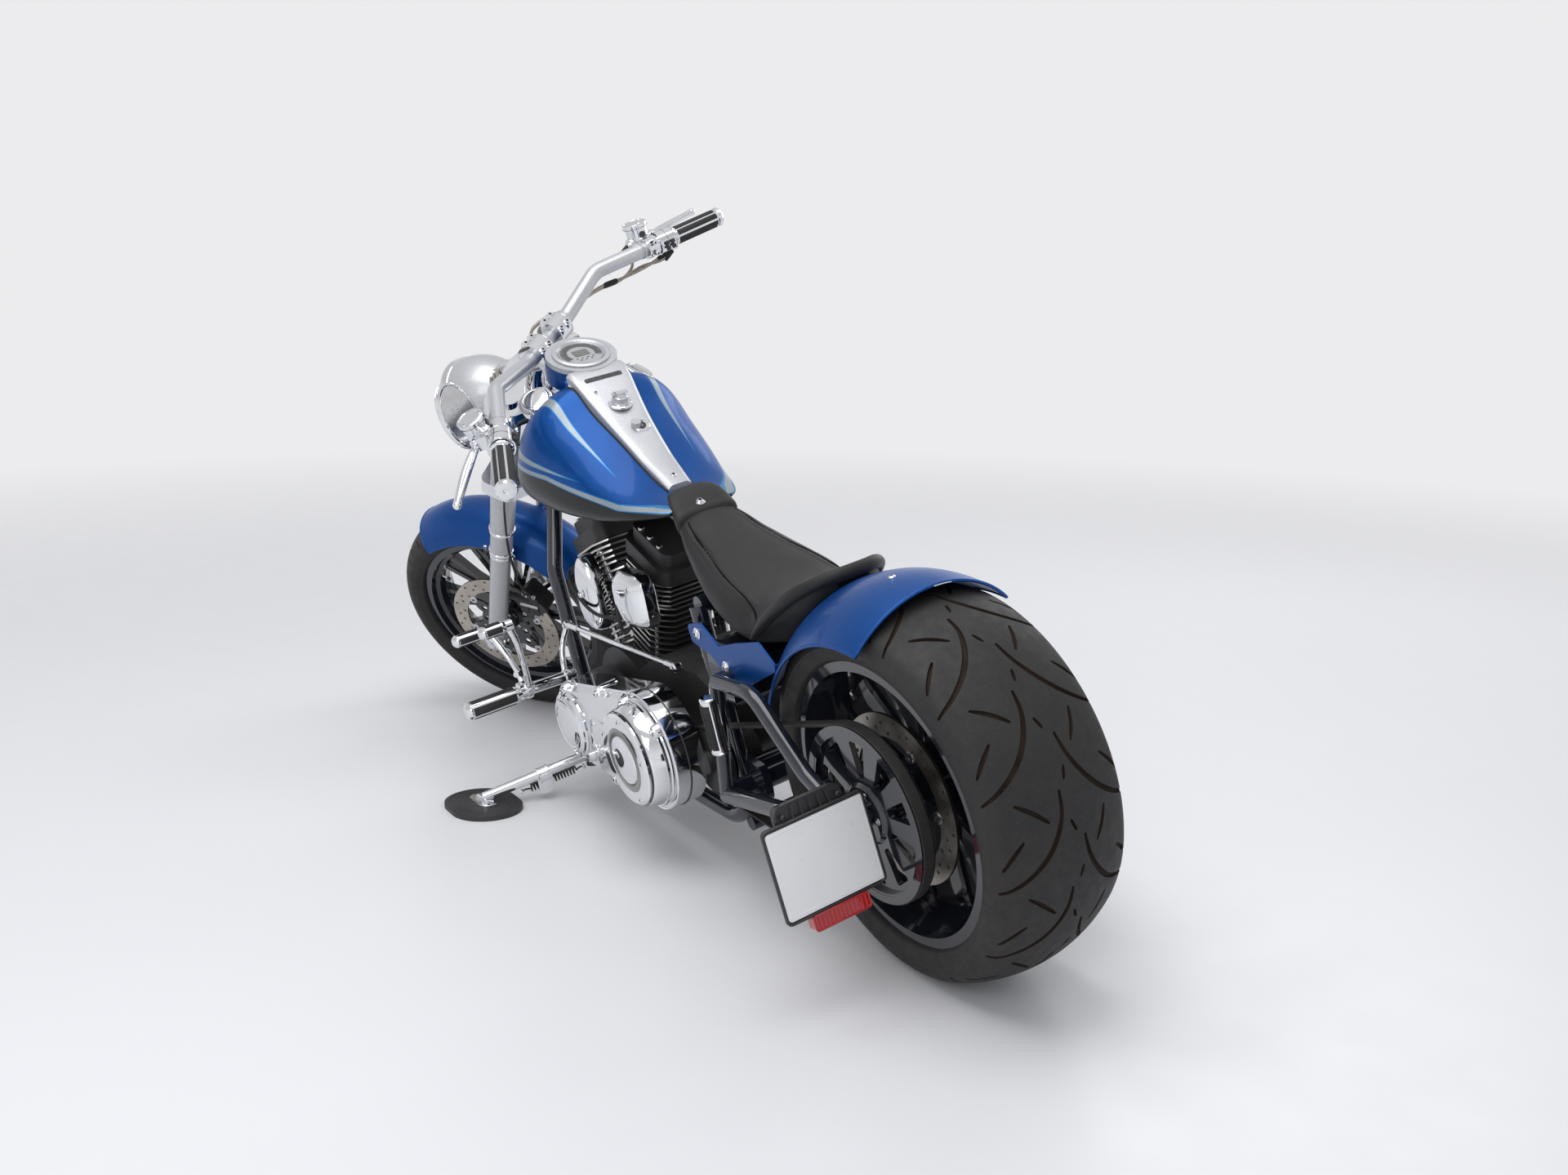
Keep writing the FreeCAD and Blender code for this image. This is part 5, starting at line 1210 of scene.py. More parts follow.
def makeConsoleTrim():
    for sign in (1, -1):
        line = []
        for x, half in smoothPath(consoleParts["spine"], 6):
            point = castOn("fuel-tank", (x, sign * (half + 3), 1200), (0, 0, -1))[0]
            line.append(vec(x, sign * (half + 1.4), point.z + 0.6))
        tube(smoothPath(line, 3), 2.3, 10)
    x, wide, deep = consoleParts["slot"]
    point, normal = consoleTop(x, 0)
    ahead = yAxis.cross(normal).normalized()
    plate(softBox(deep, wide, deep * 0.8, 5), point - normal * 0.6, ahead, yAxis, 2, 0.6, 1)
    for k in range(-2, 3):
        plate(softBox(2.6, 5.2, 1.4, 3), point + yAxis * k * 15 + normal * 1.35, ahead, yAxis, 0.5, 0.2, 2)
    piece("console.trim", "root", "gripRubber dialBlack mouldedBlack", 35)
    low, top = (Vector(p) for p in consoleParts["knob"])
    axis = (top - low).normalized()
    lathe([(-21, 21), (-19, 24.5), (-17, 25.5), (-14.5, 25), (-13, 22.5), (-13, 17.2)], top, axis, 44)
    lathe([(-13, 17.2), (-1, 16.4), (1.5, 14.5), (1.8, 0)], top, axis, 40)
    u, v = sideAxes(axis)
    wing = roundCorners([(-19, -4.2), (-8, -7.2), (8, -7.2), (19, -4.2), (19, 4.2), (8, 7.2), (-8, 7.2),
        (-19, 4.2)], 3, 3)
    plate(wing, top - axis * 2, yAxis, -yAxis.cross(axis), 11, 2.2)
    plate(rectangle(-0.8, 0.8, -6, 6), top + axis * 8.9 + yAxis * 11, u, v, 0.4, 0.1, 1)
    for c, s in turns(28):
        ray = u * c + v * s
        rod(top - axis * 15.8 + ray * 24.6, top - axis * 14 + ray * 23.9, 1.2, 6)
    base, normal = consoleTop(*consoleParts["lock"])
    lathe([(-2, 17.5), (0.6, 17.5), (2, 15.8), (2.2, 12.6), (0.9, 12.2), (0.9, 0)], base, normal, 40)
    lathe([(0.9, 9.6), (2.6, 9.2), (2.8, 0)], base, normal, 32, 1)
    across = normal.cross(xAxis).normalized()
    plate(rectangle(-5.4, 5.4, -0.9, 0.9), base + normal * 2.7, across.cross(normal), across, 0.3, 0.1, 2)
    for x, y, size, height in consoleParts["screws"]:
        screw(*consoleTop(x, y), size, height, "button", 0, 1)
    piece("console.knob", "root", "chrome satinBlack dialFace", 30)


makeConsoleTrim()

# Fuel caps: a domed lid with a milled edge over the chrome rim
fuelCap = {"seat": (1060, 118, 898), "normal": (-0.42, 0.42, 0.8), "notches": 36}


def makeCaps():
    for sign in (1, -1):
        base, axis = (vec(p[0], sign * p[1], p[2]) for p in (fuelCap["seat"], fuelCap["normal"]))
        axis.normalize()
        u, v = sideAxes(axis)
        lathe([(5.8, 37.5), (6.6, 36.6), (6.9, 34.4), (6.2, 32)], base, axis, 64)
        lathe([(10.8, 31.2), (12.6, 29.6), (13.6, 26), (13.2, 24.6), (12.8, 23.8), (13.8, 20), (14.6, 11),
            (14.8, 0)], base, axis, 64)
        for c, s in turns(fuelCap["notches"]):
            ray = u * c + v * s
            rod(base + axis * 7.4 + ray * 30.8, base + axis * 11.4 + ray * 30.4, 1.25, 6, 0.4)
    piece("fuel-caps.lids", "root", "chrome", 34)


makeCaps()
print("console dressed")

# Bars: split clamps, dressed grips, switches, master cylinders, levers and the mirror
bars = {"gripOuter": (1001, 510, 971), "knee": (1165, 231, 1030), "strips": 7, "gripLength": 122,
    "clampAlong": 1200, "clampAhead": 30.5, "clampSide": 43, "boltAhead": 20, "reservoir": (186, 36, 12),
    "blade": ((156, 47, 10), (130, 60, 10), (90, 76, 9.5), (45, 88, 8.5), (8, 96, 8))}
barOut = (Vector(bars["gripOuter"]) - Vector(bars["knee"])).normalized()
barAhead = barOut.cross(zAxis).normalized()
barUp = barAhead.cross(barOut).normalized()
barUp = barUp if barUp.z > 0 else -barUp


def barPoint(inboard, ahead=0, above=0):
    return Vector(bars["gripOuter"]) - barOut * inboard + barAhead * ahead + barUp * above


def mirrorSides():
    count = len(build["verts"])
    build["verts"] += mirrored(build["verts"])
    build["faces"] += [tuple(count + i for i in reversed(face)) for face in build["faces"]]
    build["mats"] += list(build["mats"])


# A strip wrapped part of the way round a bar
def wrapStrip(start, end, inner, outer, first, last, u=None):
    axis = (end - start).normalized()
    u, v = (u, axis.cross(u).normalized()) if u else sideAxes(axis)
    length = (end - start).length
    steps = 6
    spokes = [u * c + v * s for c, s in (turnAt(first + (last - first) * k / steps)
        for k in range(steps + 1))]
    rings = []
    for along, drop in ((0, outer - inner), (1.2, 0.6), (2.4, 0), (length - 2.4, 0), (length - 1.2, 0.6),
            (length, outer - inner)):
        centre = start + axis * along
        ring = [centre + ray * max(outer - drop - (0.7 if k in (0, steps) else 0), inner) for k,
            ray in enumerate(spokes)]
        rings.append(ring + [centre + ray * (inner - 0.4) for ray in reversed(spokes)])
    loft(rings, 1)


def makeGrips():
    length = bars["gripLength"]
    lathe([(0, 17.3), (0, 22.5), (2.5, 23.4), (5, 22.5), (7, 18.6), (length - 3, 18.6), (length - 1, 20.8),
        (length + 6, 21.6), (length + 9.5, 19.5), (length + 10.6, 12), (length + 10.2, 6),
        (length + 9.4, 5), (length + 9.4, 0)], barPoint(length), barOut, 40)
    for k in range(bars["strips"]):
        first = 360 * k / bars["strips"] + 8
        wrapStrip(barPoint(length - 9), barPoint(5), 18.3, 20.6, first, first + 360 / bars["strips"] - 16)
    mirrorSides()
    piece("grips.dressed", "steering", "chrome gripRubber", 32, ("grips",))


makeGrips()


def makeSwitches():
    back = -barAhead
    for inboard in (166.5, 126.5):
        lathe([(0, 27.2), (0.6, 27.8), (2.4, 27.8), (3, 27.2)], barPoint(inboard), barOut, 44)
    lathe([(0, 27.1), (0.2, 27.35), (0.8, 27.35), (1, 27.1)], barPoint(146), barOut, 44, 2)
    plate(softBox(17, 15, 5, 4), barPoint(145) + back * 19 - barUp * 5, barOut, barUp, 13, 2.4)
    for y in (5.5, -6.5):
        for x in (-7.5, 7.5):
            button = roundCorners(rectangle(x - 5.5, x + 5.5, y - 4.5, y + 4.5), 2.2, 3)
            plate(button, barPoint(145) + back * 31.6 - barUp * 5, barOut, barUp, 4.6, 1.4, 1)
    for inboard in (133, 158):
        screw(barPoint(inboard) - barUp * 26.5, -barUp, 4.2, 3, "button", 0, 2)
    middle = barPoint(*bars["reservoir"])
    top = middle + barUp * 41
    lathe([(-7.4, 28.1), (-6.9, 28.9), (-6.3, 28.1)], top, barUp, 48, 2)
    lathe([(0, 27.6), (1.6, 27.2), (2.8, 25.4), (3.2, 20), (2.5, 19), (2.5, 0)], top, barUp, 48)
    for c, s in (turnAt(angle) for angle in (30, 150, 270)):
        screw(top + (barOut * c + barAhead * s) * 22.6 + barUp * 2.4, barUp, 3.4, 2.2, "button", 0, 2)
    lathe([(0, 7.8), (1.6, 7.4), (2, 5.6), (1.4, 5.2), (1.4, 0)], middle + barUp * 18 + back * 24.6, back,
        28, 1)
    clamp = barPoint(182) + back * 22
    plate(softBox(12, 19, 6, 4), clamp, barOut, barUp, 6.5, 1.6)
    for lift in (-12.5, 12.5):
        screw(clamp + barUp * lift + back * 6.3, back, 5, 4.4, "socket", 0, 2)
    pivot = barPoint(158, 46, 10)
    lathe([(-11, 0), (-11, 9), (-9.5, 10.5), (9.5, 10.5), (11, 9), (11, 0)], pivot, barUp, 28)
    screw(pivot + barUp * 10.8, barUp, 5.2, 3.4, "button", 0, 2)
    tube(smoothPath([barPoint(*p) for p in bars["blade"]]), 8.6, 20, flat=0.86, up=barAhead)
    lathe([(-4, 0), (-4, 8), (-2, 9.5), (3, 9.5), (5, 8), (5, 0)], barPoint(216, 34, 12), -barOut, 24)
    mirrorSides()
    piece("hand-controls.switches", "steering", "chrome mouldedBlack satinBlack")


makeSwitches()


def makeClampBolts():
    for side in (-1, 1):
        centre = forkPoint(bars["clampAlong"], bars["clampAhead"], side * bars["clampSide"])
        for ahead in (-1, 1):
            for half in (-13, 13):
                spot = centre + forkForward * ahead * bars["boltAhead"] + yAxis * half
                lathe([(6, 0), (6, 9.6), (21.5, 9.4), (22.6, 8.2), (22.6, 0)], spot, forkDirection, 26)
                screw(spot + forkDirection * 22.4, forkDirection, 6.4, 5.6, "socket", 0, 1)
        for along in (-24.4, 23.4):
            lathe([(0, 29.2), (0, 30.6), (1, 30.6), (1, 29.2)], centre + yAxis * along, yAxis, 44,
                closed=True)
        for ahead in (-1, 1):
            plate(softBox(24.6, 0.7, 0.3, 1), centre + forkForward * ahead * 29.2, yAxis,
                forkDirection * ahead, 1.2, 0.2, 1)
    piece("fork-yokes.bolts", "steering", "chrome satinBlack")
    for inboard in (206, 210):
        lathe([(0, 17.2), (0.8, 18.6), (2.4, 18.6), (3.2, 17.2)], barPoint(inboard), barOut, 36)
    mirrorSides()
    piece("handlebar.rings", "steering", "silverPaint")


makeClampBolts()

# Ring lists are (scale, distance ahead) about the centre of the glass
mirrorHead = {"centre": (1186, 330, 1040), "wide": 48, "tall": 72,
    "bezel": ((0.985, 5), (1.01, 2), (1, -0.8), (0.96, -2.2), (0.915, -1.6), (0.9, -0.5)),
    "glass": ((0.905, -0.6), (0.5, -0.85), (0.02, -0.9)), "shell": ((9, 0.985), (11, 0.962))}


def makeMirror():
    m = mirrorHead
    centre = Vector(m["centre"])

    def rings(places):
        return [[centre + vec(x, m["wide"] * scale * c, m["tall"] * scale * s) for c, s in turns(72)][::-1]
            for scale, x in places]

    loft(rings(m["bezel"]), capped=False)
    loft(rings(m["glass"]), 1)
    for x, scale in m["shell"]:
        loft(rings(((scale + 0.012, x + 0.8), (scale + 0.018, x), (scale + 0.006, x - 0.8))), capped=False)
    lathe([(-5, 0), (-5, 9.5), (5, 9.5), (8, 7.5), (8, 0)], centre + vec(18, 0, -10), xAxis, 28)
    base = barPoint(190, 24, -12)
    lathe([(-7, 0), (-7, 9.5), (6, 9.5), (8, 8), (8, 0)], base, barUp, 28)
    screw(base + barUp * 7.8, barUp, 6.6, 5.4, "hex")
    piece("mirror.glass", "steering", "chrome brightSteel", 34)


makeMirror()

# Held control lines: braided sleeves with black boots, from the controls down behind the lamp
lines = {
    "starts": (((152, -6, -26), (176, 2, -34)), ((140, -10, -26), (160, -8, -40)),
        ((216, 34, 12), (236, 36, 4))),
    "route": ((1228, 165, 985), (1262, 116, 1000), (1286, 82, 996), (1294, 70, 960), (1300, 60, 900)),
    "spread": (8, 6, -5), "radius": 3.4,
}


def heldLine(name, points, radius, look, body, replaced=()):
    data = bpy.data.curves.new(name, "CURVE")
    data.dimensions = "3D"
    data.bevel_depth = radius * mm
    data.bevel_resolution = 4
    data.resolution_u = 10
    data.use_fill_caps = True
    spline = data.splines.new("NURBS")
    spline.points.add(len(points) - 1)
    for point, place in zip(spline.points, points):
        point.co = (*(bodyFrames[body] @ Vector(place)), 1)
    spline.order_u = 3
    spline.use_endpoint_u = True
    data.materials.append(finishes[look])
    linkPiece(bpy.data.objects.new(name, data), body, replaced)


# A point on the line of order 3 that the route's points make, from 0 to 1 along it
def heldPoint(route, share):
    place = share * (len(route) - 2)
    i = min(int(place), len(route) - 3)
    t = place - i
    a, b, c = route[i:i + 3]
    start = a if i == 0 else (a + b) / 2
    end = c if i == len(route) - 3 else (b + c) / 2
    return start * (1 - t) ** 2 + b * 2 * t * (1 - t) + end * t * t


def makeLines():
    replaced = ("control-cables",)
    for side, sideName in ((1, "left"), (-1, "right")):
        for k, start in enumerate(lines["starts"]):
            shift = Vector(lines["spread"]) * (k - 1)
            route = [barPoint(*start[0]), barPoint(*start[1]),
                barPoint(206 + 6 * k, 10 + 4 * k, -42 + 8 * k) + shift * 0.5, barPoint(262, 26, -50) +
                shift * 1.4, barPoint(318, 36, -46) + shift]
            route += [Vector(p) + shift for p in lines["route"]]
            route = [vec(p.x, side * p.y, p.z) for p in route]
            heldLine("control-cables.%s%d" % (sideName, k + 1), route, lines["radius"], "braid", "steering",
                replaced)
            replaced = ()
            way = route[1] - route[0]
            length = min(way.length, 24)
            lathe([(-4, 0), (-4, 5.6), (0, 6.2), (length * 0.7, 5.2), (length, 3.8), (length, 0)], route[0],
                way, 20)
            if k < 2:
                lathe([(0, 3.7), (2, 5.2), (8, 5.6), (24, 5.6), (30, 5.2), (34, 3.7)],
                    heldPoint(route, 0.34), heldPoint(route, 0.42) - heldPoint(route, 0.34), 20)
            lathe([(0, 0), (0, 5.6), (8, 5.6), (9.5, 4.4), (14, 4.2), (14, 0)], route[-1], route[-2]
                - route[-1], 20, 1)
    piece("control-cables.boots", "steering", "gripRubber chrome", 34)


makeLines()

# Lamps: bezel and lens of the headlight, lenses of the turn signals
lampShape = {"head": (1388, 0, 905), "signal": (1040, 85.9, 118), "stem": (30, 54, 10), "lean": (-1, 0, 0.1)}


def makeHeadlight():
    base = Vector(lampShape["head"])
    for profile, steps, mat in (
        ([(64, 90.6), (66, 92.4), (80, 93), (86, 91.6), (90, 88), (90, 82), (86.4, 81)], 80, 0),
        ([(86.2, 81.5), (86.2, 60), (83, 40), (80, 12), (80, 0)], 64, 0),
        ([(80, 11), (90, 10), (93, 7), (94, 0)], 32, 0),
        ([(87, 82), (93, 66), (96.5, 40), (98, 16), (98.2, 0)], 80, 1),
        ([(-60, 48.6), (-57, 52.4), (-55, 52.8), (-53, 52.6)], 72, 0)):
        lathe(profile, base, xAxis, steps, mat)
    for side in (-1, 1):
        lamp = forkPoint(*lampShape["signal"]) + Vector(lampShape["stem"])
        lamp.y *= side
        axis = Vector(lampShape["lean"])
        lathe([(-27, 19.2), (-27.6, 20.6), (-26, 21.8), (-22, 21.8), (-21, 21)], lamp, axis, 44)
        lathe([(-26.2, 19.6), (-29.5, 17.5), (-32, 11), (-32.8, 0)], lamp, axis, 40, 2)
        lathe([(5, 21.1), (6, 21.6), (8, 21.1)], lamp, axis, 44)
    piece("headlight.bezel", "steering", "chrome clearLens amberLens", 34)


makeHeadlight()
print("bars dressed")

# Primary: bolt bosses round the clutch dome, the derby's dark ring and bare badge, and the front boss.
# A boss is (x, z, radius and angle about them, top)
primary = {
    "clutch": (632, 278), "crank": (955, 252),
    "bosses": ((632, 278, 99, 68, 242), (632, 278, 105, 15, 236), (632, 278, 101, 140, 240),
        (632, 278, 104, -55, 236), (955, 252, 72, 75, 236), (955, 252, 72, 10, 236),
        (955, 252, 72, -70, 236), (800, 265, 92, 90, 234), (800, 262, 92, -90, 234)),
    "window": ((748, 214), (852, 222), (866, 252), (852, 292), (748, 300), (738, 256)),
    "screws": ((760, 226), (842, 232), (846, 280), (760, 288)), "ends": (118.4, 88.4),
}


def makePrimary():
    cx, cz = primary["clutch"]
    bx, bz = primary["crank"]
    for x, z, radius, angle, top in primary["bosses"]:
        spot = sidePoint(radius, turnAt(angle), 0, x, z)
        lathe([(188, 0), (188, 17), (top - 14, 15.5), (top - 3, 13.6), (top, 11.6), (top, 8.4),
            (top - 2, 8), (top - 2, 0)], spot, yAxis)
        screw(spot + yAxis * (top - 2), yAxis, 7.2, 6.4, "socket", 0, 1)
    centre, derby = vec(cx, 0, cz), vec(cx, 273, cz)
    lathe([(222, 117), (224, 119.2), (226, 117)], centre, yAxis, 110)
    lathe([(236, 104), (246, 101.5), (256, 97.5), (261.5, 94.6), (262.4, 93.4)], centre, yAxis, 110)
    for profile, mat in (([(-1.2, 88), (0.5, 86.5), (0.9, 80), (1, 65), (0.2, 64.2)], 0),
            ([(0.2, 64.2), (0.5, 63.2), (0.8, 56), (0.5, 48.8), (0.2, 48)], 2),
            ([(0.2, 48), (1.8, 46.8), (3.6, 40), (5.8, 24), (6.4, 10), (6.5, 0)], 0),
            ([(-10, 94.2), (-9.2, 95), (-8.4, 94.6), (-8.2, 93.4)], 1)):
        lathe(profile, derby, yAxis, 96, mat)
    for turn in turns(5, 0.35):
        screw(derby + sidePoint(81, turn, -0.2), yAxis, 5.4, 3.6, "button", 0, 1)
    lathe([(236, 72), (240, 71), (243, 68), (244.2, 63), (249.2, 58.5), (251.4, 55), (252, 48),
        (251.2, 46.8), (250.8, 45.5), (251.8, 43), (252.6, 22), (252.7, 0)], vec(bx, 0, bz), yAxis, 80)
    window = roundCorners(primary["window"], 16, 6)
    tube([vec(x, 236.4, z) for x, z in window], 1.5, 8, closed=True)
    for x, z in primary["screws"]:
        screw(vec(x, 236.2, z), yAxis, 4.6, 3.2, "button", 0, 1)
    rear, front = primary["ends"]
    tube([sidePoint(rear, turn, 196, cx, cz) if turn[0] < 0 else sidePoint(front, turn, 196, bx, bz)
        for turn in turns(64)], 1.6, 8, 1, closed=True)
    piece("primary-cover.bosses", "root", "chrome satinBlack displayGrey", 30)


makePrimary()

# The horn's teardrop cover and the coil's bevelled cover; rows are (share of the depth, scale)
covers = (
    {"x": 1010, "z": 492, "wide": 46, "tall": 84, "power": 0.86, "taper": 0.16, "deep": 0.94,
        "rows": ((0, 0.9), (0.08, 0.985), (0.26, 1), (0.5, 0.985), (0.68, 0.93), (0.8, 0.83), (0.88, 0.69),
        (0.94, 0.5), (0.98, 0.26), (0.995, 0.05))},
    {"x": 790, "z": 520, "wide": 62, "tall": 58, "power": 0.5, "taper": 0, "deep": 1,
        "rows": ((0, 0.93), (0.06, 0.985), (0.14, 1), (0.56, 0.985), (0.6, 0.965), (0.84, 0.8),
        (0.87, 0.765), (0.94, 0.7), (0.975, 0.4), (0.985, 0.05))},
)


def makeCovers():
    for cover in covers:
        x, z, power = cover["x"], cover["z"], cover["power"]
        loft([[vec(x + cover["wide"] * scale * (1 - cover["taper"] * s) * squared(c, power), 92 +
            50 * step * cover["deep"], z + cover["tall"] * scale * squared(s, power)) for c,
            s in turns(80)][::-1] for step, scale in cover["rows"]])
        lathe([(62, 0), (62, 9), (94, 9), (94, 0)], vec(x, 0, z), yAxis, 20, 1)
    horn = vec(covers[0]["x"], 0, covers[0]["z"])
    lathe([(138.4, 0), (138.4, 9), (140.5, 8.4), (141.4, 6), (141.6, 0)], horn, yAxis, 28)
    screw(horn + yAxis * 139, yAxis, 5, 3.4, "button", 0, 1)
    piece("chrome-covers.pods", "root", "chrome satinBlack", 26, ("chrome-covers",))


makeCovers()

# Engine: rocker bolts, head bolts, spark leads, intake and case screws
engine = {"angle": 22.5, "head": 284, "rocker": 338, "case": ((905, 180), (1010, 186), (1040, 262),
    (868, 262), (905, 330), (1012, 330)), "cam": ((905, 214), (962, 200), (1019, 262), (1000, 324),
    (908, 324)), "nose": (955, -150, 252), "coil": ((-1, (812, 118, 470)), (1, (842, 118, 486)))}


def alongCylinder(sign, distance, across=0, left=0):
    c, s = turnAt(sign * engine["angle"])
    x, z = primary["crank"]
    return vec(x + distance * s + across * c, left, z + distance * c - across * s)


def makeEngine():
    for sign in (-1, 1):
        axis = (alongCylinder(sign, 100) - alongCylinder(sign, 0)).normalized()
        for left in (-50, 50):
            for across in (-36, 0, 36):
                hit = castOn("rocker-covers", alongCylinder(sign, 470, across, left), -axis)[0]
                screw(hit - axis * 0.3, axis, 6.4, 6, "socket", 0, 1)
        for left in (-1, 1):
            for across in (-44, 44):
                spot = alongCylinder(sign, engine["head"] - 8, across, left * 60)
                rod(spot - axis * 150, spot + axis * 40, 5.6, 14, 1)
                screw(spot + axis * 38, axis, 9.6, 12, "hex")
            for step, size in ((engine["rocker"] + 8, 1.4), (engine["rocker"] + 30, 1.2)):
                tube([alongCylinder(sign, step, a, left * 67.5) for a in (-52, 52)], size, 8, 1)
        plug = alongCylinder(sign, engine["head"] + 22, sign * 6, 70)
        lathe([(-16, 0), (-16, 9), (0, 9), (0, 13), (7, 13), (8, 8), (16, 7.5), (18, 6), (18, 0)], plug,
            yAxis, 24)
        lathe([(15, 8.4), (17, 9.6), (38, 8.8), (46, 6.2), (52, 4.2), (52, 0)], plug, yAxis, 22, 1)
    for x, z in engine["case"]:
        hit = castOn("engine-cases", (x, -320, z), yAxis)[0]
        if hit.y < -40:
            screw(hit + yAxis * 0.3, -yAxis, 6.4, 5.6, "socket", 0, 1)
    for x, z in engine["cam"]:
        hit = castOn("cam-cover", (x, -320, z), yAxis)[0]
        lathe([(-3, 0), (-3, 11), (2.4, 10.2), (3.2, 9), (3.2, 0)], hit, -yAxis, 24)
        screw(hit - yAxis * 3, -yAxis, 6.2, 5, "socket", 0, 1)
    for radius, lift in ((40, 0.4), (30, 1.2)):
        lathe([(0, radius), (lift + 1.2, radius - 1.6), (lift + 1.4, radius - 5), (lift + 0.6, radius - 6)],
            Vector(engine["nose"]), -yAxis, 56)
    piece("engine.fasteners", "root", "brightSteel satinBlack", 30)
    for number, (sign, coil) in enumerate(engine["coil"], 1):
        start, end = alongCylinder(sign, engine["head"] + 22, sign * 6, 120), Vector(coil)
        middle = vec((start.x + end.x) / 2, 144, min(start.z, end.z) - 26)
        heldLine("engine.lead%d" % number, [start, start + vec(0, 16, -6), middle, end + vec(4, 8, -14),
            end], 3.9, "gripRubber", "root")


makeEngine()


# Air cleaner: a stepped face with ribs and one centre bolt
def makeAirCleaner():
    base = vec(959, -200, 478)
    lathe([(-3, 51), (0.6, 50.5), (1.4, 48), (1, 45), (-0.4, 43.5), (0.8, 41.5), (2.4, 37), (2.6, 16),
        (4.2, 13.5), (4.6, 9), (4.6, 0)], base, -yAxis, 80)
    screw(base - yAxis * 4.4, -yAxis, 7.6, 6, "button", 1, 1)
    for turn in turns(40):
        rib = base + sidePoint(72, turn)
        rod(rib + yAxis * 16, rib + yAxis * 60, 1.5, 8, 0.5)
    piece("air-cleaner.face", "root", "satinBlack brightSteel", 30)


makeAirCleaner()

# Foot pegs: rubber bands set in the chrome, and the passenger pegs' pads.
# Pegs are (x, z, inner, outer, radius)
pegs = {"rider": (1100, 302, 283, 408, 18), "shift": (1202, 424, 296, 368, 13),
    "heel": (1034, 476, 299, 360, 13)}


def pegBands(peg, side=1):
    x, z, inner, outer, radius = peg
    start, end = vec(x, side * (inner + 15), z), vec(x, side * (outer - 11), z)
    for first in (-28, 62, 152, 242):
        wrapStrip(start, end, radius - 1, radius + 1.7, first, first + 56)


def makePegs():
    for peg in pegs.values():
        pegBands(peg)
        x, z, inner, outer, radius = peg
        length = outer - inner
        lathe([(length - 9, radius), (length - 7, radius + 1.2), (length - 3, radius - 0.6),
            (length + 1.6, radius - 5), (length + 2.2, 0)], vec(x, inner, z), yAxis, 36)
    for side in (1, -1):
        top, low = vec(356, side * 208, 452), vec(352, side * 206, 352)
        for first in (40, 100):
            first = first if side > 0 else -first - 48
            wrapStrip(low + zAxis * 8, top - zAxis * 8, 13.8, 17.2, first, first + 48, xAxis)
        rod(low - zAxis * 2.5, low + zAxis * 4, 15.8, 30, 2.2)
        rod(top - zAxis * 4, top + zAxis * 3.2, 15.8, 30, 2.4)
    pegBands(pegs["rider"], -1)
    for y in range(-312, -361, -12):
        lathe([(0, 14.6), (1.2, 16.2), (6.2, 16.2), (7.4, 14.6)], vec(1212, y - 3.7, 418), yAxis, 30, 1)
    for y in (1, -1):
        lathe([(0, 13.2), (2, 17), (13, 17), (15, 13.2)], vec(1112, y * 268, 299), yAxis * y)
        rod(vec(1128, y * 262, 306), vec(1128, y * 280, 306), 9, 24, 1.6)
    lathe([(-9, 0), (-9, 7), (9, 7), (9, 0)], vec(1138, 266, 330), vec(-318, -116, 90), 18)
    piece("foot-pegs.pads", "root", "chrome gripRubber")


makePegs()
print("engine dressed")

# Side stand: a close-wound spring on its anchors, a bumper tongue and the pivot's nut
stand = {"pivot": (1040, 178, 138), "pinLean": 4, "puckTop": 15.3, "turns": 15, "perTurn": 14, "coil": 8.2,
    "wire": 1.9, "tongue": ((-17, -8), (17, -6), (22, 30), (6, 38), (-14, 30)),
    "ridges": ((0.955, 0.2, 1.5), (0.8, 0.3, 0.9), (0.66, 0.3, 0.9))}


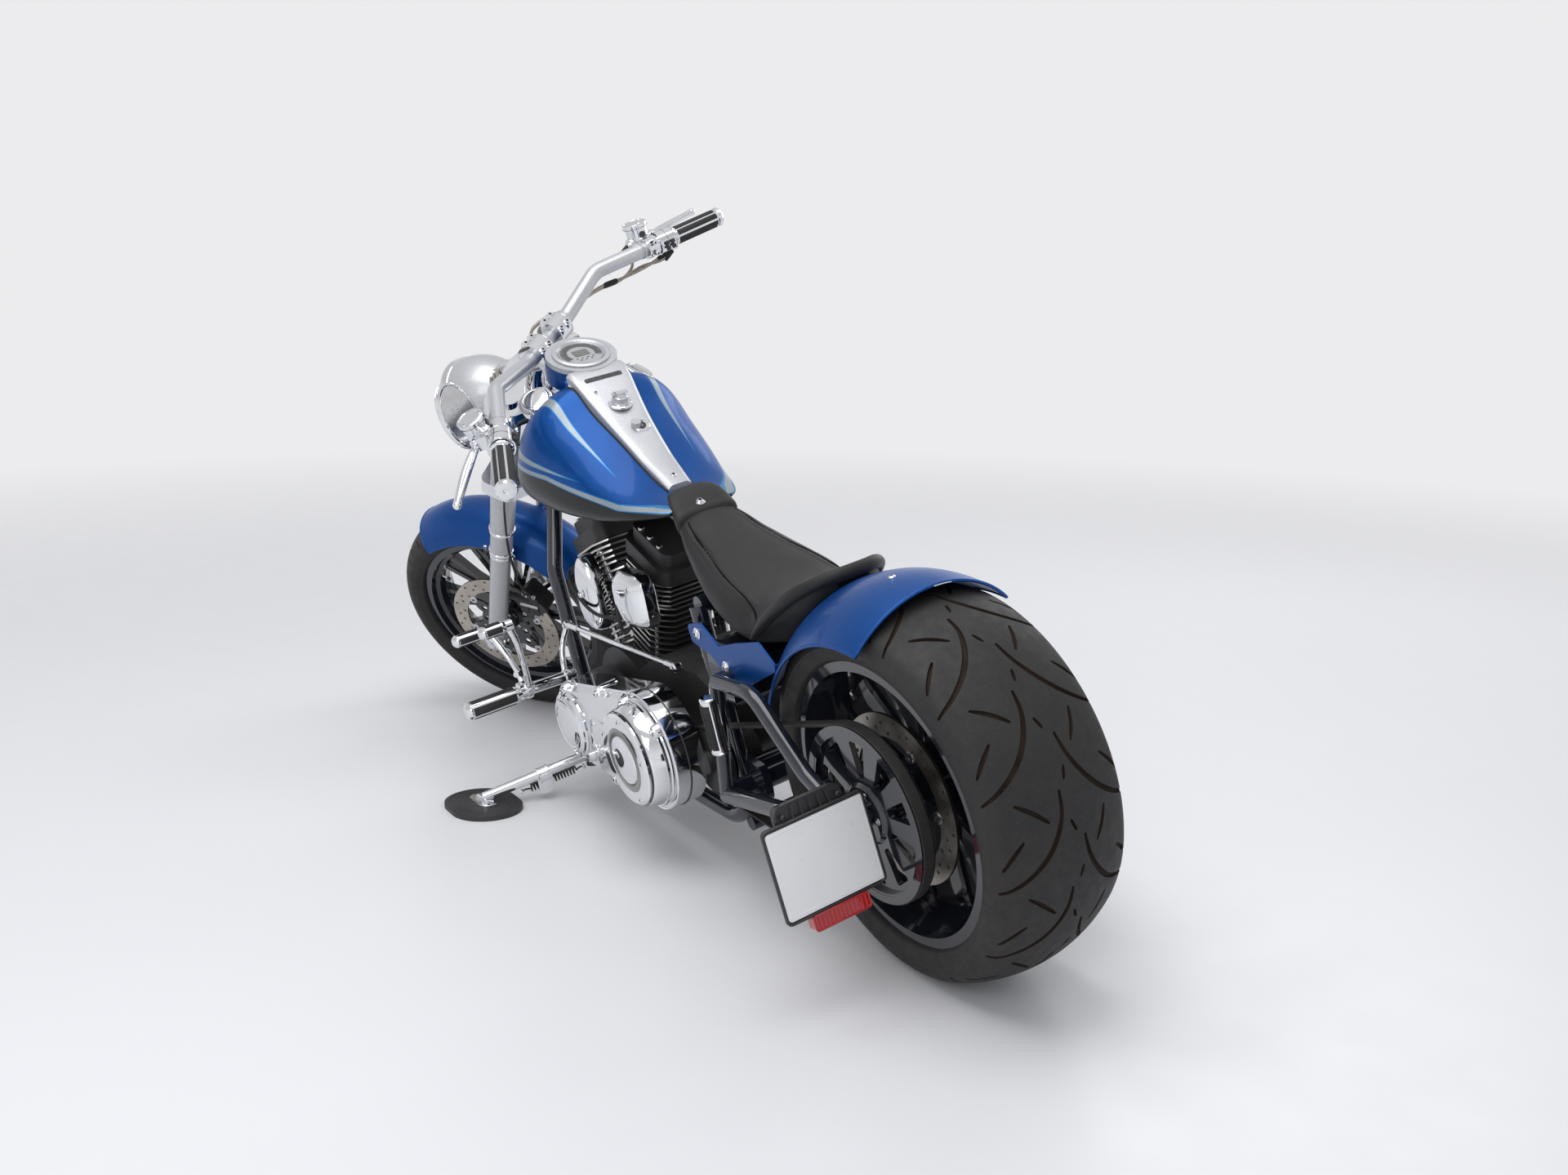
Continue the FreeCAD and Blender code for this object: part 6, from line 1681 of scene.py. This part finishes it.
def makeStand():
    toFloor = floorFrame.inverted() @ chassis
    lean = radians(stand["pinLean"])
    pivot = toFloor @ Vector(stand["pivot"])
    pin = (toFloor @ (Vector(stand["pivot"]) + vec(sin(lean), 0, cos(lean)) * 100) - pivot).normalized()
    low, high = (Vector(corner) * 1000 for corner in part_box("stand-puck"))
    ankle = vec((low.x + high.x) / 2, (low.y + high.y) / 2, stand["puckTop"])
    leg = ankle - pivot
    way = leg.normalized()
    side = way.cross(zAxis).normalized()
    under = way.cross(side).normalized()
    under = under if under.z < 0 else -under
    first = pivot + way * 46 + under * 24 + side * 12
    last = pivot + way * 150 + under * 22 + side * 12
    axis = (last - first).normalized()
    u, v = sideAxes(axis)
    steps = stand["turns"] * stand["perTurn"]
    helix = [first - axis * 20, first - axis * 10, first - axis * 3 + u * 4]
    for k in range(steps + 1):
        a = 2 * pi * stand["turns"] * k / steps
        helix.append(first + axis * (last - first).length * k / steps +
            (u * cos(a) + v * sin(a)) * stand["coil"])
    helix += [last + axis * 3 + u * 4, last + axis * 10, last + axis * 22]
    tube(helix, stand["wire"], 8, 1)
    for anchor in (last + axis * 20, first - axis * 18):
        rod(anchor - side * 13, anchor + side * 5, 3.6, 14, 0.8)
    for along in (0.42, 0.5):
        lathe([(-2.4, 11), (-2.4, 16.4), (-1.4, 17.6), (1.4, 17.6), (2.4, 16.4), (2.4, 11)], pivot +
            leg * along, way, 36, closed=True)
    plate(roundCorners(stand["tongue"], 5, 4), pivot + leg * 0.46 + under * 6 - side * 3, way, under, 5, 1.2)
    lathe([(15.2, 12.6), (17.4, 12.6), (18.2, 11.6), (18.2, 8.3)], pivot, pin)
    screw(pivot + pin * 20.6, pin, 8.6, 6.5, "hex")
    foot = [vec(ankle.x + x, ankle.y, ankle.z + 0.2) for x in (-30, 30)]
    tube(smoothPath([foot[0], (foot[0] + foot[1]) / 2 + zAxis * 3, foot[1]]), 3)
    piece("side-stand.spring", "side_stand", "chrome satinBlack", 34, matrix=floorFrame)
    a, b = (high.x - low.x) / 2, (high.y - low.y) / 2
    for scale, drop, size in stand["ridges"]:
        tube([vec(ankle.x + a * scale * c, ankle.y + b * scale * s, high.z - drop) for c, s in turns(72)],
            size, 8, closed=True)
    piece("stand-puck.rim", "root", "mouldedBlack", 40, matrix=floorFrame)


makeStand()

# Foot controls: pivots, shaped levers and the shift rod, chromed
controls = {
    "levers": (((1128, 262, 306), (1140, 266, 336), (1152, 273, 366), (1174, 282, 396), (1204, 293, 424)),
        ((1100, 262, 306), (1080, 268, 346), (1060, 276, 386), (1042, 286, 436), (1034, 298, 476)),
        ((1112, -262, 306), (1134, -270, 330), (1160, -279, 356), (1184, -290, 386), (1212, -304, 418))),
    "rod": ((1146, 128, 396), (650, 120, 410)),
    "crank": ((1112, 172, 300), (1128, 164, 330), (1150, 146, 362), (1146, 130, 396)),
}


def makeControls():
    for side in (1, -1):
        rod(vec(1112, side * 150, 296), vec(1112, side * 284, 300), 13, 32, 1.4)
        rod(vec(1150, side * 124, 210), vec(1112, side * 168, 296), 14, 32, 1.4)
        for y in (170, 262):
            rod(vec(1112, side * (y - 7), 296.5), vec(1112, side * (y + 7), 297), 17, 36, 2.2)
    for lever in controls["levers"]:
        path = smoothPath(lever)
        last = len(path) - 1
        tube(path, [8.6 - 2.4 * sin(pi * k / last) + (0.6 if k < 4 else 0) for k in range(last + 1)], 20,
            flat=0.78, up=yAxis)
        for end in (path[0], path[-1]):
            lathe([(-9, 0), (-9, 10.5), (-7.5, 12), (7.5, 12), (9, 10.5), (9, 0)], end, yAxis, 30)
    start, end = (Vector(p) for p in controls["rod"])
    way = (end - start).normalized()
    rod(start, end, 5, 20, 0.8)
    rod(start + way * 4, start + way * 42, 7.6, 24, 1.6)
    lathe([(42, 7.4), (43, 8.4), (52, 8.4), (53, 6)], start, way, 6)
    rod(end - way * 42, end - way * 4, 7.6, 24, 1.6)
    for spot in (start, end):
        lathe([(-8, 0), (-8, 8), (-6, 10), (6, 10), (8, 8), (8, 0)], spot, yAxis, 26)
        screw(spot + yAxis * 7.6, yAxis, 5.6, 4.6, "hex")
    tube(smoothPath(controls["crank"]), 6.2, 18, flat=0.8, up=yAxis)
    piece("foot-controls.levers", "root", "chrome", 34, ("foot-controls",))


makeControls()

# Number plate: a pressed border, the holder's ribbed hood and the reflector's strip
plateShape = {"centre": (-31, 251, 304), "tilt": 12, "half": (90, 70)}
plateCos, plateSin = turnAt(plateShape["tilt"])
plateOut, plateUp = vec(-plateCos, 0, plateSin), vec(plateSin, 0, plateCos)


def platePoint(across, up, out):
    return Vector(plateShape["centre"]) + yAxis * across + plateUp * up + plateOut * out


def makePlate():
    w, h = plateShape["half"]

    def edging(outline, out, size, steps=8, flat=1):
        tube([platePoint(a, b, out) for a, b in outline], size, steps, closed=True, flat=flat)

    edging(softBox(w - 5, h - 5, 7, 6), 1.9, 1, flat=0.6)
    piece("number-plate.border", "root", "plateWhite", 40)
    edging(roundCorners(rectangle(1 - w, w + 2, -h - 4.5, h + 4.5), 9, 6), 0.4, 2.6, 10)
    hood = [(-66, h + 2), (66, h + 2), (60, h + 22), (42, h + 33), (-42, h + 33), (-60, h + 22)]
    plate(roundCorners(hood, 8, 5), platePoint(0, 0, -6.5), yAxis, plateUp, 7, 2.4)
    for across in (-34, -17, 0, 17, 34):
        tube([platePoint(across, h + 6, 0.4), platePoint(across * 0.9, h + 27, 0.4)], 1.3, 8)
    for across in (-50.4, 50.4):
        screw(platePoint(across, h + 14, 0.3), plateOut, 4.4, 3, "button")
    for across in (-52, 52):
        lathe([(0, 0), (0, 9), (3, 9), (4, 7), (7, 6.4), (7, 0)], platePoint(across, 20, -6.2), -plateOut, 20)
    piece("plate-holder.frame", "root", "satinBlack", 36)
    for step in range(13):
        a = -44 + step * 7.33
        tube([platePoint(a, -h - 29, 4.2), platePoint(a, -h - 9, 4.2)], 1.5, 8)
    edging(roundCorners(rectangle(-51, 51, -h - 31, -h - 7), 6, 5), 3.8, 1.7)
    piece("tail-lamp.ribs", "root", "redLens", 40)


makePlate()


# Calipers: piston caps, bridge bolts, a bleed nipple and a bare badge plate; tilt is in radians
def makeCaliper(node, body, centre, side, tilt):
    u = vec(cos(tilt), 0, sin(tilt))
    v = -yAxis.cross(u)

    def spot(along, across, out):
        p = centre + u * along + v * across
        return vec(p.x, side + out, p.z)

    for a in (-17, 17):
        for b in (-14, 14):
            lathe([(0, 12.6), (3.2, 12.2), (5, 10.6), (5.4, 6), (4.4, 5.2), (4.4, 0)], spot(a, b, 23),
                yAxis)
    plate(softBox(24, 4.6, 2.4, 4), spot(0, 0, 24), v, u, 5.4, 0.8, 1)
    for a in (-33, 33):
        for b in (-16, 16):
            screw(spot(a, b, 23.5), yAxis, 5.4, 5, "socket", 1, 2)
    rod(spot(36, 0, 21), spot(36, 0, 34), 3.4, 14, 0.8, 1)
    piece(node + ".caps", body, "satinBlack brightSteel mouldedBlack")


makeCaliper("front-caliper", "steering", frontAxle + vec(-134, 0, 70), 70, 2)
makeCaliper("rear-caliper", "root", rearAxle + vec(146, 0, -20), 82, 1.45)

# Fenders: rolled edges, bolts, and the bare bright strip at the rear edge; first and last are angles
fenders = {
    "rear": {"body": "root", "centre": rearAxle, "half": 148, "edge": 279, "radius": 348, "first": 26,
        "last": 99},
    "front": {"body": "steering", "centre": frontAxle, "half": 79.8, "edge": 262, "radius": 330,
        "first": 72, "last": 156},
}


def fenderArc(fender, share, angle, lift=0):
    half, sag = fender["half"], fender["radius"] - fender["edge"]
    big = (half * half + sag * sag) / (2 * sag)
    a = asin(half / big) * share
    radius = fender["radius"] - big + (big + lift) * cos(a)
    return sidePoint(radius, turnAt(angle), (big + lift) * sin(a), fender["centre"].x, fender["centre"].z)


def makeFenderEdges():
    for name, fender in fenders.items():
        first, last = fender["first"], fender["last"]
        loop = [fenderArc(fender, -1 + k / 16, last) for k in range(33)]
        loop += [fenderArc(fender, 1, last + (first - last) * k / 40) for k in range(1, 41)]
        loop += [fenderArc(fender, 1 - k / 16, first) for k in range(1, 33)]
        loop += [fenderArc(fender, -1, first + (last - first) * k / 40) for k in range(1, 40)]
        tube(loop, 3, 10, closed=True)
        piece(name + "-fender.edge", fender["body"], "blue", 50)
    strip = [fenderArc(fenders["rear"], 0.2 * k / 10 - 0.22, 99.3, -0.6) for k in range(11)]
    tube(strip, 3, 10, flat=0.5, up=xAxis)
    screw(*castOn("rear-fender", (24, 15, 900), (0, 0, -1)), 6.4, 3.4, "button", 0, 1)
    for x, z in ((466, 530), (378, 486)):
        for side in (1, -1):
            out = yAxis * side
            spot = castOn("rear-fender", (x, side * 400, z), -out)[0]
            lathe([(0, 0), (0, 11), (1.8, 11), (2.4, 10), (2.4, 0)], spot, out, 28)
            screw(spot + out * 2.2, out, 7, 4.6, "button", 0, 1)
    piece("rear-fender.bolts", "root", "chrome satinBlack")
    for side in (1, -1):
        for angle in (112, 128):
            screw(fenderArc(fenders["front"], side * 0.97, angle, 0.6), yAxis * side, 5.6, 3.6, "button", 0,
                1)
    piece("front-fender.bolts", "steering", "chrome satinBlack")


makeFenderEdges()

# Swingarm and fork fasteners: axle nuts, pivot nuts, pinch bolts. Nuts are (x, z, size)
fasteners = {
    "axle": (0, 324), "nuts": ((418, 236, 8), (60, 324, 5.4)), "track": 118, "legAhead": 57.9,
    "legRings": ((722, 29), (652, 27.2), (640, 26)),
    "hose": ((1560, 92, 420), (1556, 104, 452), (1530, 112, 500), (1500, 128, 560), (1440, 140, 660),
        (1376, 142, 760), (1330, 128, 850), (1296, 92, 930)),
}


def makeFasteners():
    f = fasteners
    for side in (1, -1):
        out = yAxis * side

        def onArm(x, z):
            return castOn("swingarm", (x, side * 420, z), -out)[0]

        spot = onArm(*f["axle"])
        lathe([(-1, 0), (-1, 24), (2.4, 24), (3.4, 22.8), (3.4, 0)], spot, out, 44)
        screw(spot + out * 3, out, 17, 13, "hex")
        rod(spot + out * 10, spot + out * 21, 8.6, 28, 2)
        for x, z, size in f["nuts"]:
            screw(onArm(x, z), out, size, 7, "hex")
    piece("frame.bolts", "root", "brightSteel", 30)
    for side in (1, -1):
        for along, radius in f["legRings"]:
            lathe([(-4, radius - 3), (-4, radius), (-2.6, radius + 1.4), (2.6, radius + 1.4), (4, radius),
                (4, radius - 3)], forkPoint(along, f["legAhead"], side * f["track"]), forkDirection, 48,
                closed=True)
        foot = frontAxle + yAxis * side * f["track"]
        for drop in (-17, 17):
            screw(foot + forkDirection * drop * 0.4 - forkForward * 24 + yAxis * drop * 0.6, -forkForward,
                5.2, 4.6, "socket", 0, 1)
        lathe([(-0.5, 0), (-0.5, 19), (2.2, 19), (3.2, 17.6), (3.2, 11.2)], foot + yAxis * side * 22.2,
            yAxis * side, 40)
    screw(frontAxle + yAxis * (f["track"] + 25), yAxis, 12, 10, "hex")
    piece("fork-legs.rings", "steering", "chrome satinBlack")
    heldLine("front-caliper.hose", f["hose"], 3.2, "gripRubber", "steering")


makeFasteners()


# Rims: a valve, and rings round both lips
def makeRims():
    for name, half, bead in (("rear", 112, 229), ("front", 47, 228)):
        for side in (1, -1):
            for along, radius, size in ((half - 5.2, bead + 6.6, 1.5), (half - 17, bead - 3.4, 1.1)):
                tube([sidePoint(radius, turn, side * along) for turn in turns(120)], size, 8, closed=True)
        ray, shift = vec(cos(0.7), 0, sin(0.7)), yAxis * half * 0.4
        rod(ray * (bead - 34) + shift, ray * (bead - 6) + shift, 3, 14, 0.6, 1)
        rod(ray * (bead - 42) + shift, ray * (bead - 33) + shift, 4.2, 14, 0.9, 2)
        piece(name + "-rim.details", name + "_wheel", "glossBlack brightSteel mouldedBlack",
            40)


makeRims()
print("small parts dressed")

# Studio: pale floor, soft overhead light, and the photograph's standpoint
view = {"place": (-2.66866, 1.40676, 1.1348), "yaw": -0.5596, "pitch": -0.2104, "roll": 0.0123,
    "focal": 1862, "frameWidth": 1920, "sensor": 36}
studio = {"background": (0.93, 0.93, 0.945), "daylight": (0.9, 0.92, 1), "daylightStrength": 0.62,
    "floor": (0.8, 0.8, 0.805), "floorSize": 40, "horizon": (0.84, 0.84, 0.855), "blend": (1.2, 6.5)}


def makeCamera():
    data = bpy.data.cameras.new("photoCamera")
    data.sensor_width = view["sensor"]
    data.lens = view["focal"] / view["frameWidth"] * view["sensor"]
    camera = bpy.data.objects.new("photoCamera", data)
    bpy.context.scene.collection.objects.link(camera)
    yaw, pitch, roll = view["yaw"], view["pitch"], view["roll"]
    ahead = vec(cos(pitch) * cos(yaw), cos(pitch) * sin(yaw), sin(pitch))
    right = ahead.cross(zAxis).normalized()
    up = right.cross(ahead)
    matrix = Matrix((right * cos(roll) + up * sin(roll), up * cos(roll) - right * sin(roll), -ahead))
    matrix = matrix.transposed().to_4x4()
    matrix.translation = view["place"]
    camera.matrix_world = matrix
    bpy.context.scene.camera = camera


def makeFloor():
    mesh = bpy.data.meshes.new("studioFloor")
    half = studio["floorSize"] / 2
    mesh.from_pydata([(x, y, 0) for x, y in rectangle(-half, half, -half, half)], [], [(0, 1, 2, 3)])
    floor = bpy.data.objects.new("studioFloor", mesh)
    bpy.context.scene.collection.objects.link(floor)
    material = shaderTree("floorPaint")
    worn = tuple(c * 0.985 for c in studio["floor"])
    feed(Base_Color=mix(drift(0.8, 4, 0.35, 0.65), studio["floor"], worn),
        Roughness=drift(9, 4, 0.3, 0.7, 0.3, 0.42), Specular_IOR_Level=0.3)
    relief(noise(26, 4), 0.0006, 0.25)
    # The floor fades into the horizon's tone with its distance
    glow = add("Emission", Color=studio["horizon"], Strength=1)
    distance = add("VectorMath", {"operation": "LENGTH"}, i0=coords()).outputs["Value"]
    blend = add("MixShader", i0=remap(distance, *studio["blend"]),
        i1=tree.nodes["Principled BSDF"].outputs[0], i2=glow.outputs[0])
    fill(tree.nodes["Material Output"], {"i0": blend.outputs[0]})
    mesh.materials.append(material)


def makeWorld():
    global tree
    world = bpy.data.worlds.new("studioLight")
    bpy.context.scene.world = world
    world.use_nodes = True
    tree = world.node_tree
    tree.nodes.clear()
    rays = add("LightPath").outputs
    seen = maths("MAXIMUM", rays["Is Camera Ray"], maths("MAXIMUM", rays["Is Glossy Ray"],
        rays["Is Transmission Ray"]))
    height = add("SeparateXYZ", Vector=add("TexCoord").outputs["Generated"]).outputs[2]
    low = remap(height, 0.16, 0.5, 0.903, 0.6)
    glow = maths("ADD", low, remap(height, 0.5, 0.95, 0, 0.25))
    pale = add("Background", Color=scaled(studio["background"], glow), Strength=1)
    light = add("Background", Color=studio["daylight"], Strength=studio["daylightStrength"])
    both = add("MixShader", i0=seen, i1=light.outputs[0], i2=pale.outputs[0])
    add("OutputWorld", i0=both.outputs[0])


lamps = {"overhead": {"place": (-0.5, 0.9, 3.3), "size": 2.6, "power": 62},
    "left": {"place": (-2.6, 3, 2.1), "size": 1.8, "power": 26},
    "right": {"place": (1, -3.2, 2.4), "size": 2, "power": 26}}
lampAim = vec(0, 0, 0.4)


def makeLamps():
    for name, lamp in lamps.items():
        data = bpy.data.lights.new(name, "AREA")
        data.shape = "SQUARE"
        data.size = lamp["size"]
        data.energy = lamp["power"]
        light = bpy.data.objects.new(name, data)
        light.location = lamp["place"]
        light.rotation_euler = (lampAim - Vector(lamp["place"])).to_track_quat("-Z", "Y").to_euler()
        bpy.context.scene.collection.objects.link(light)


makeCamera()
makeFloor()
makeWorld()
makeLamps()
bpy.context.scene.view_settings.view_transform = "Standard"
print("studio ready")
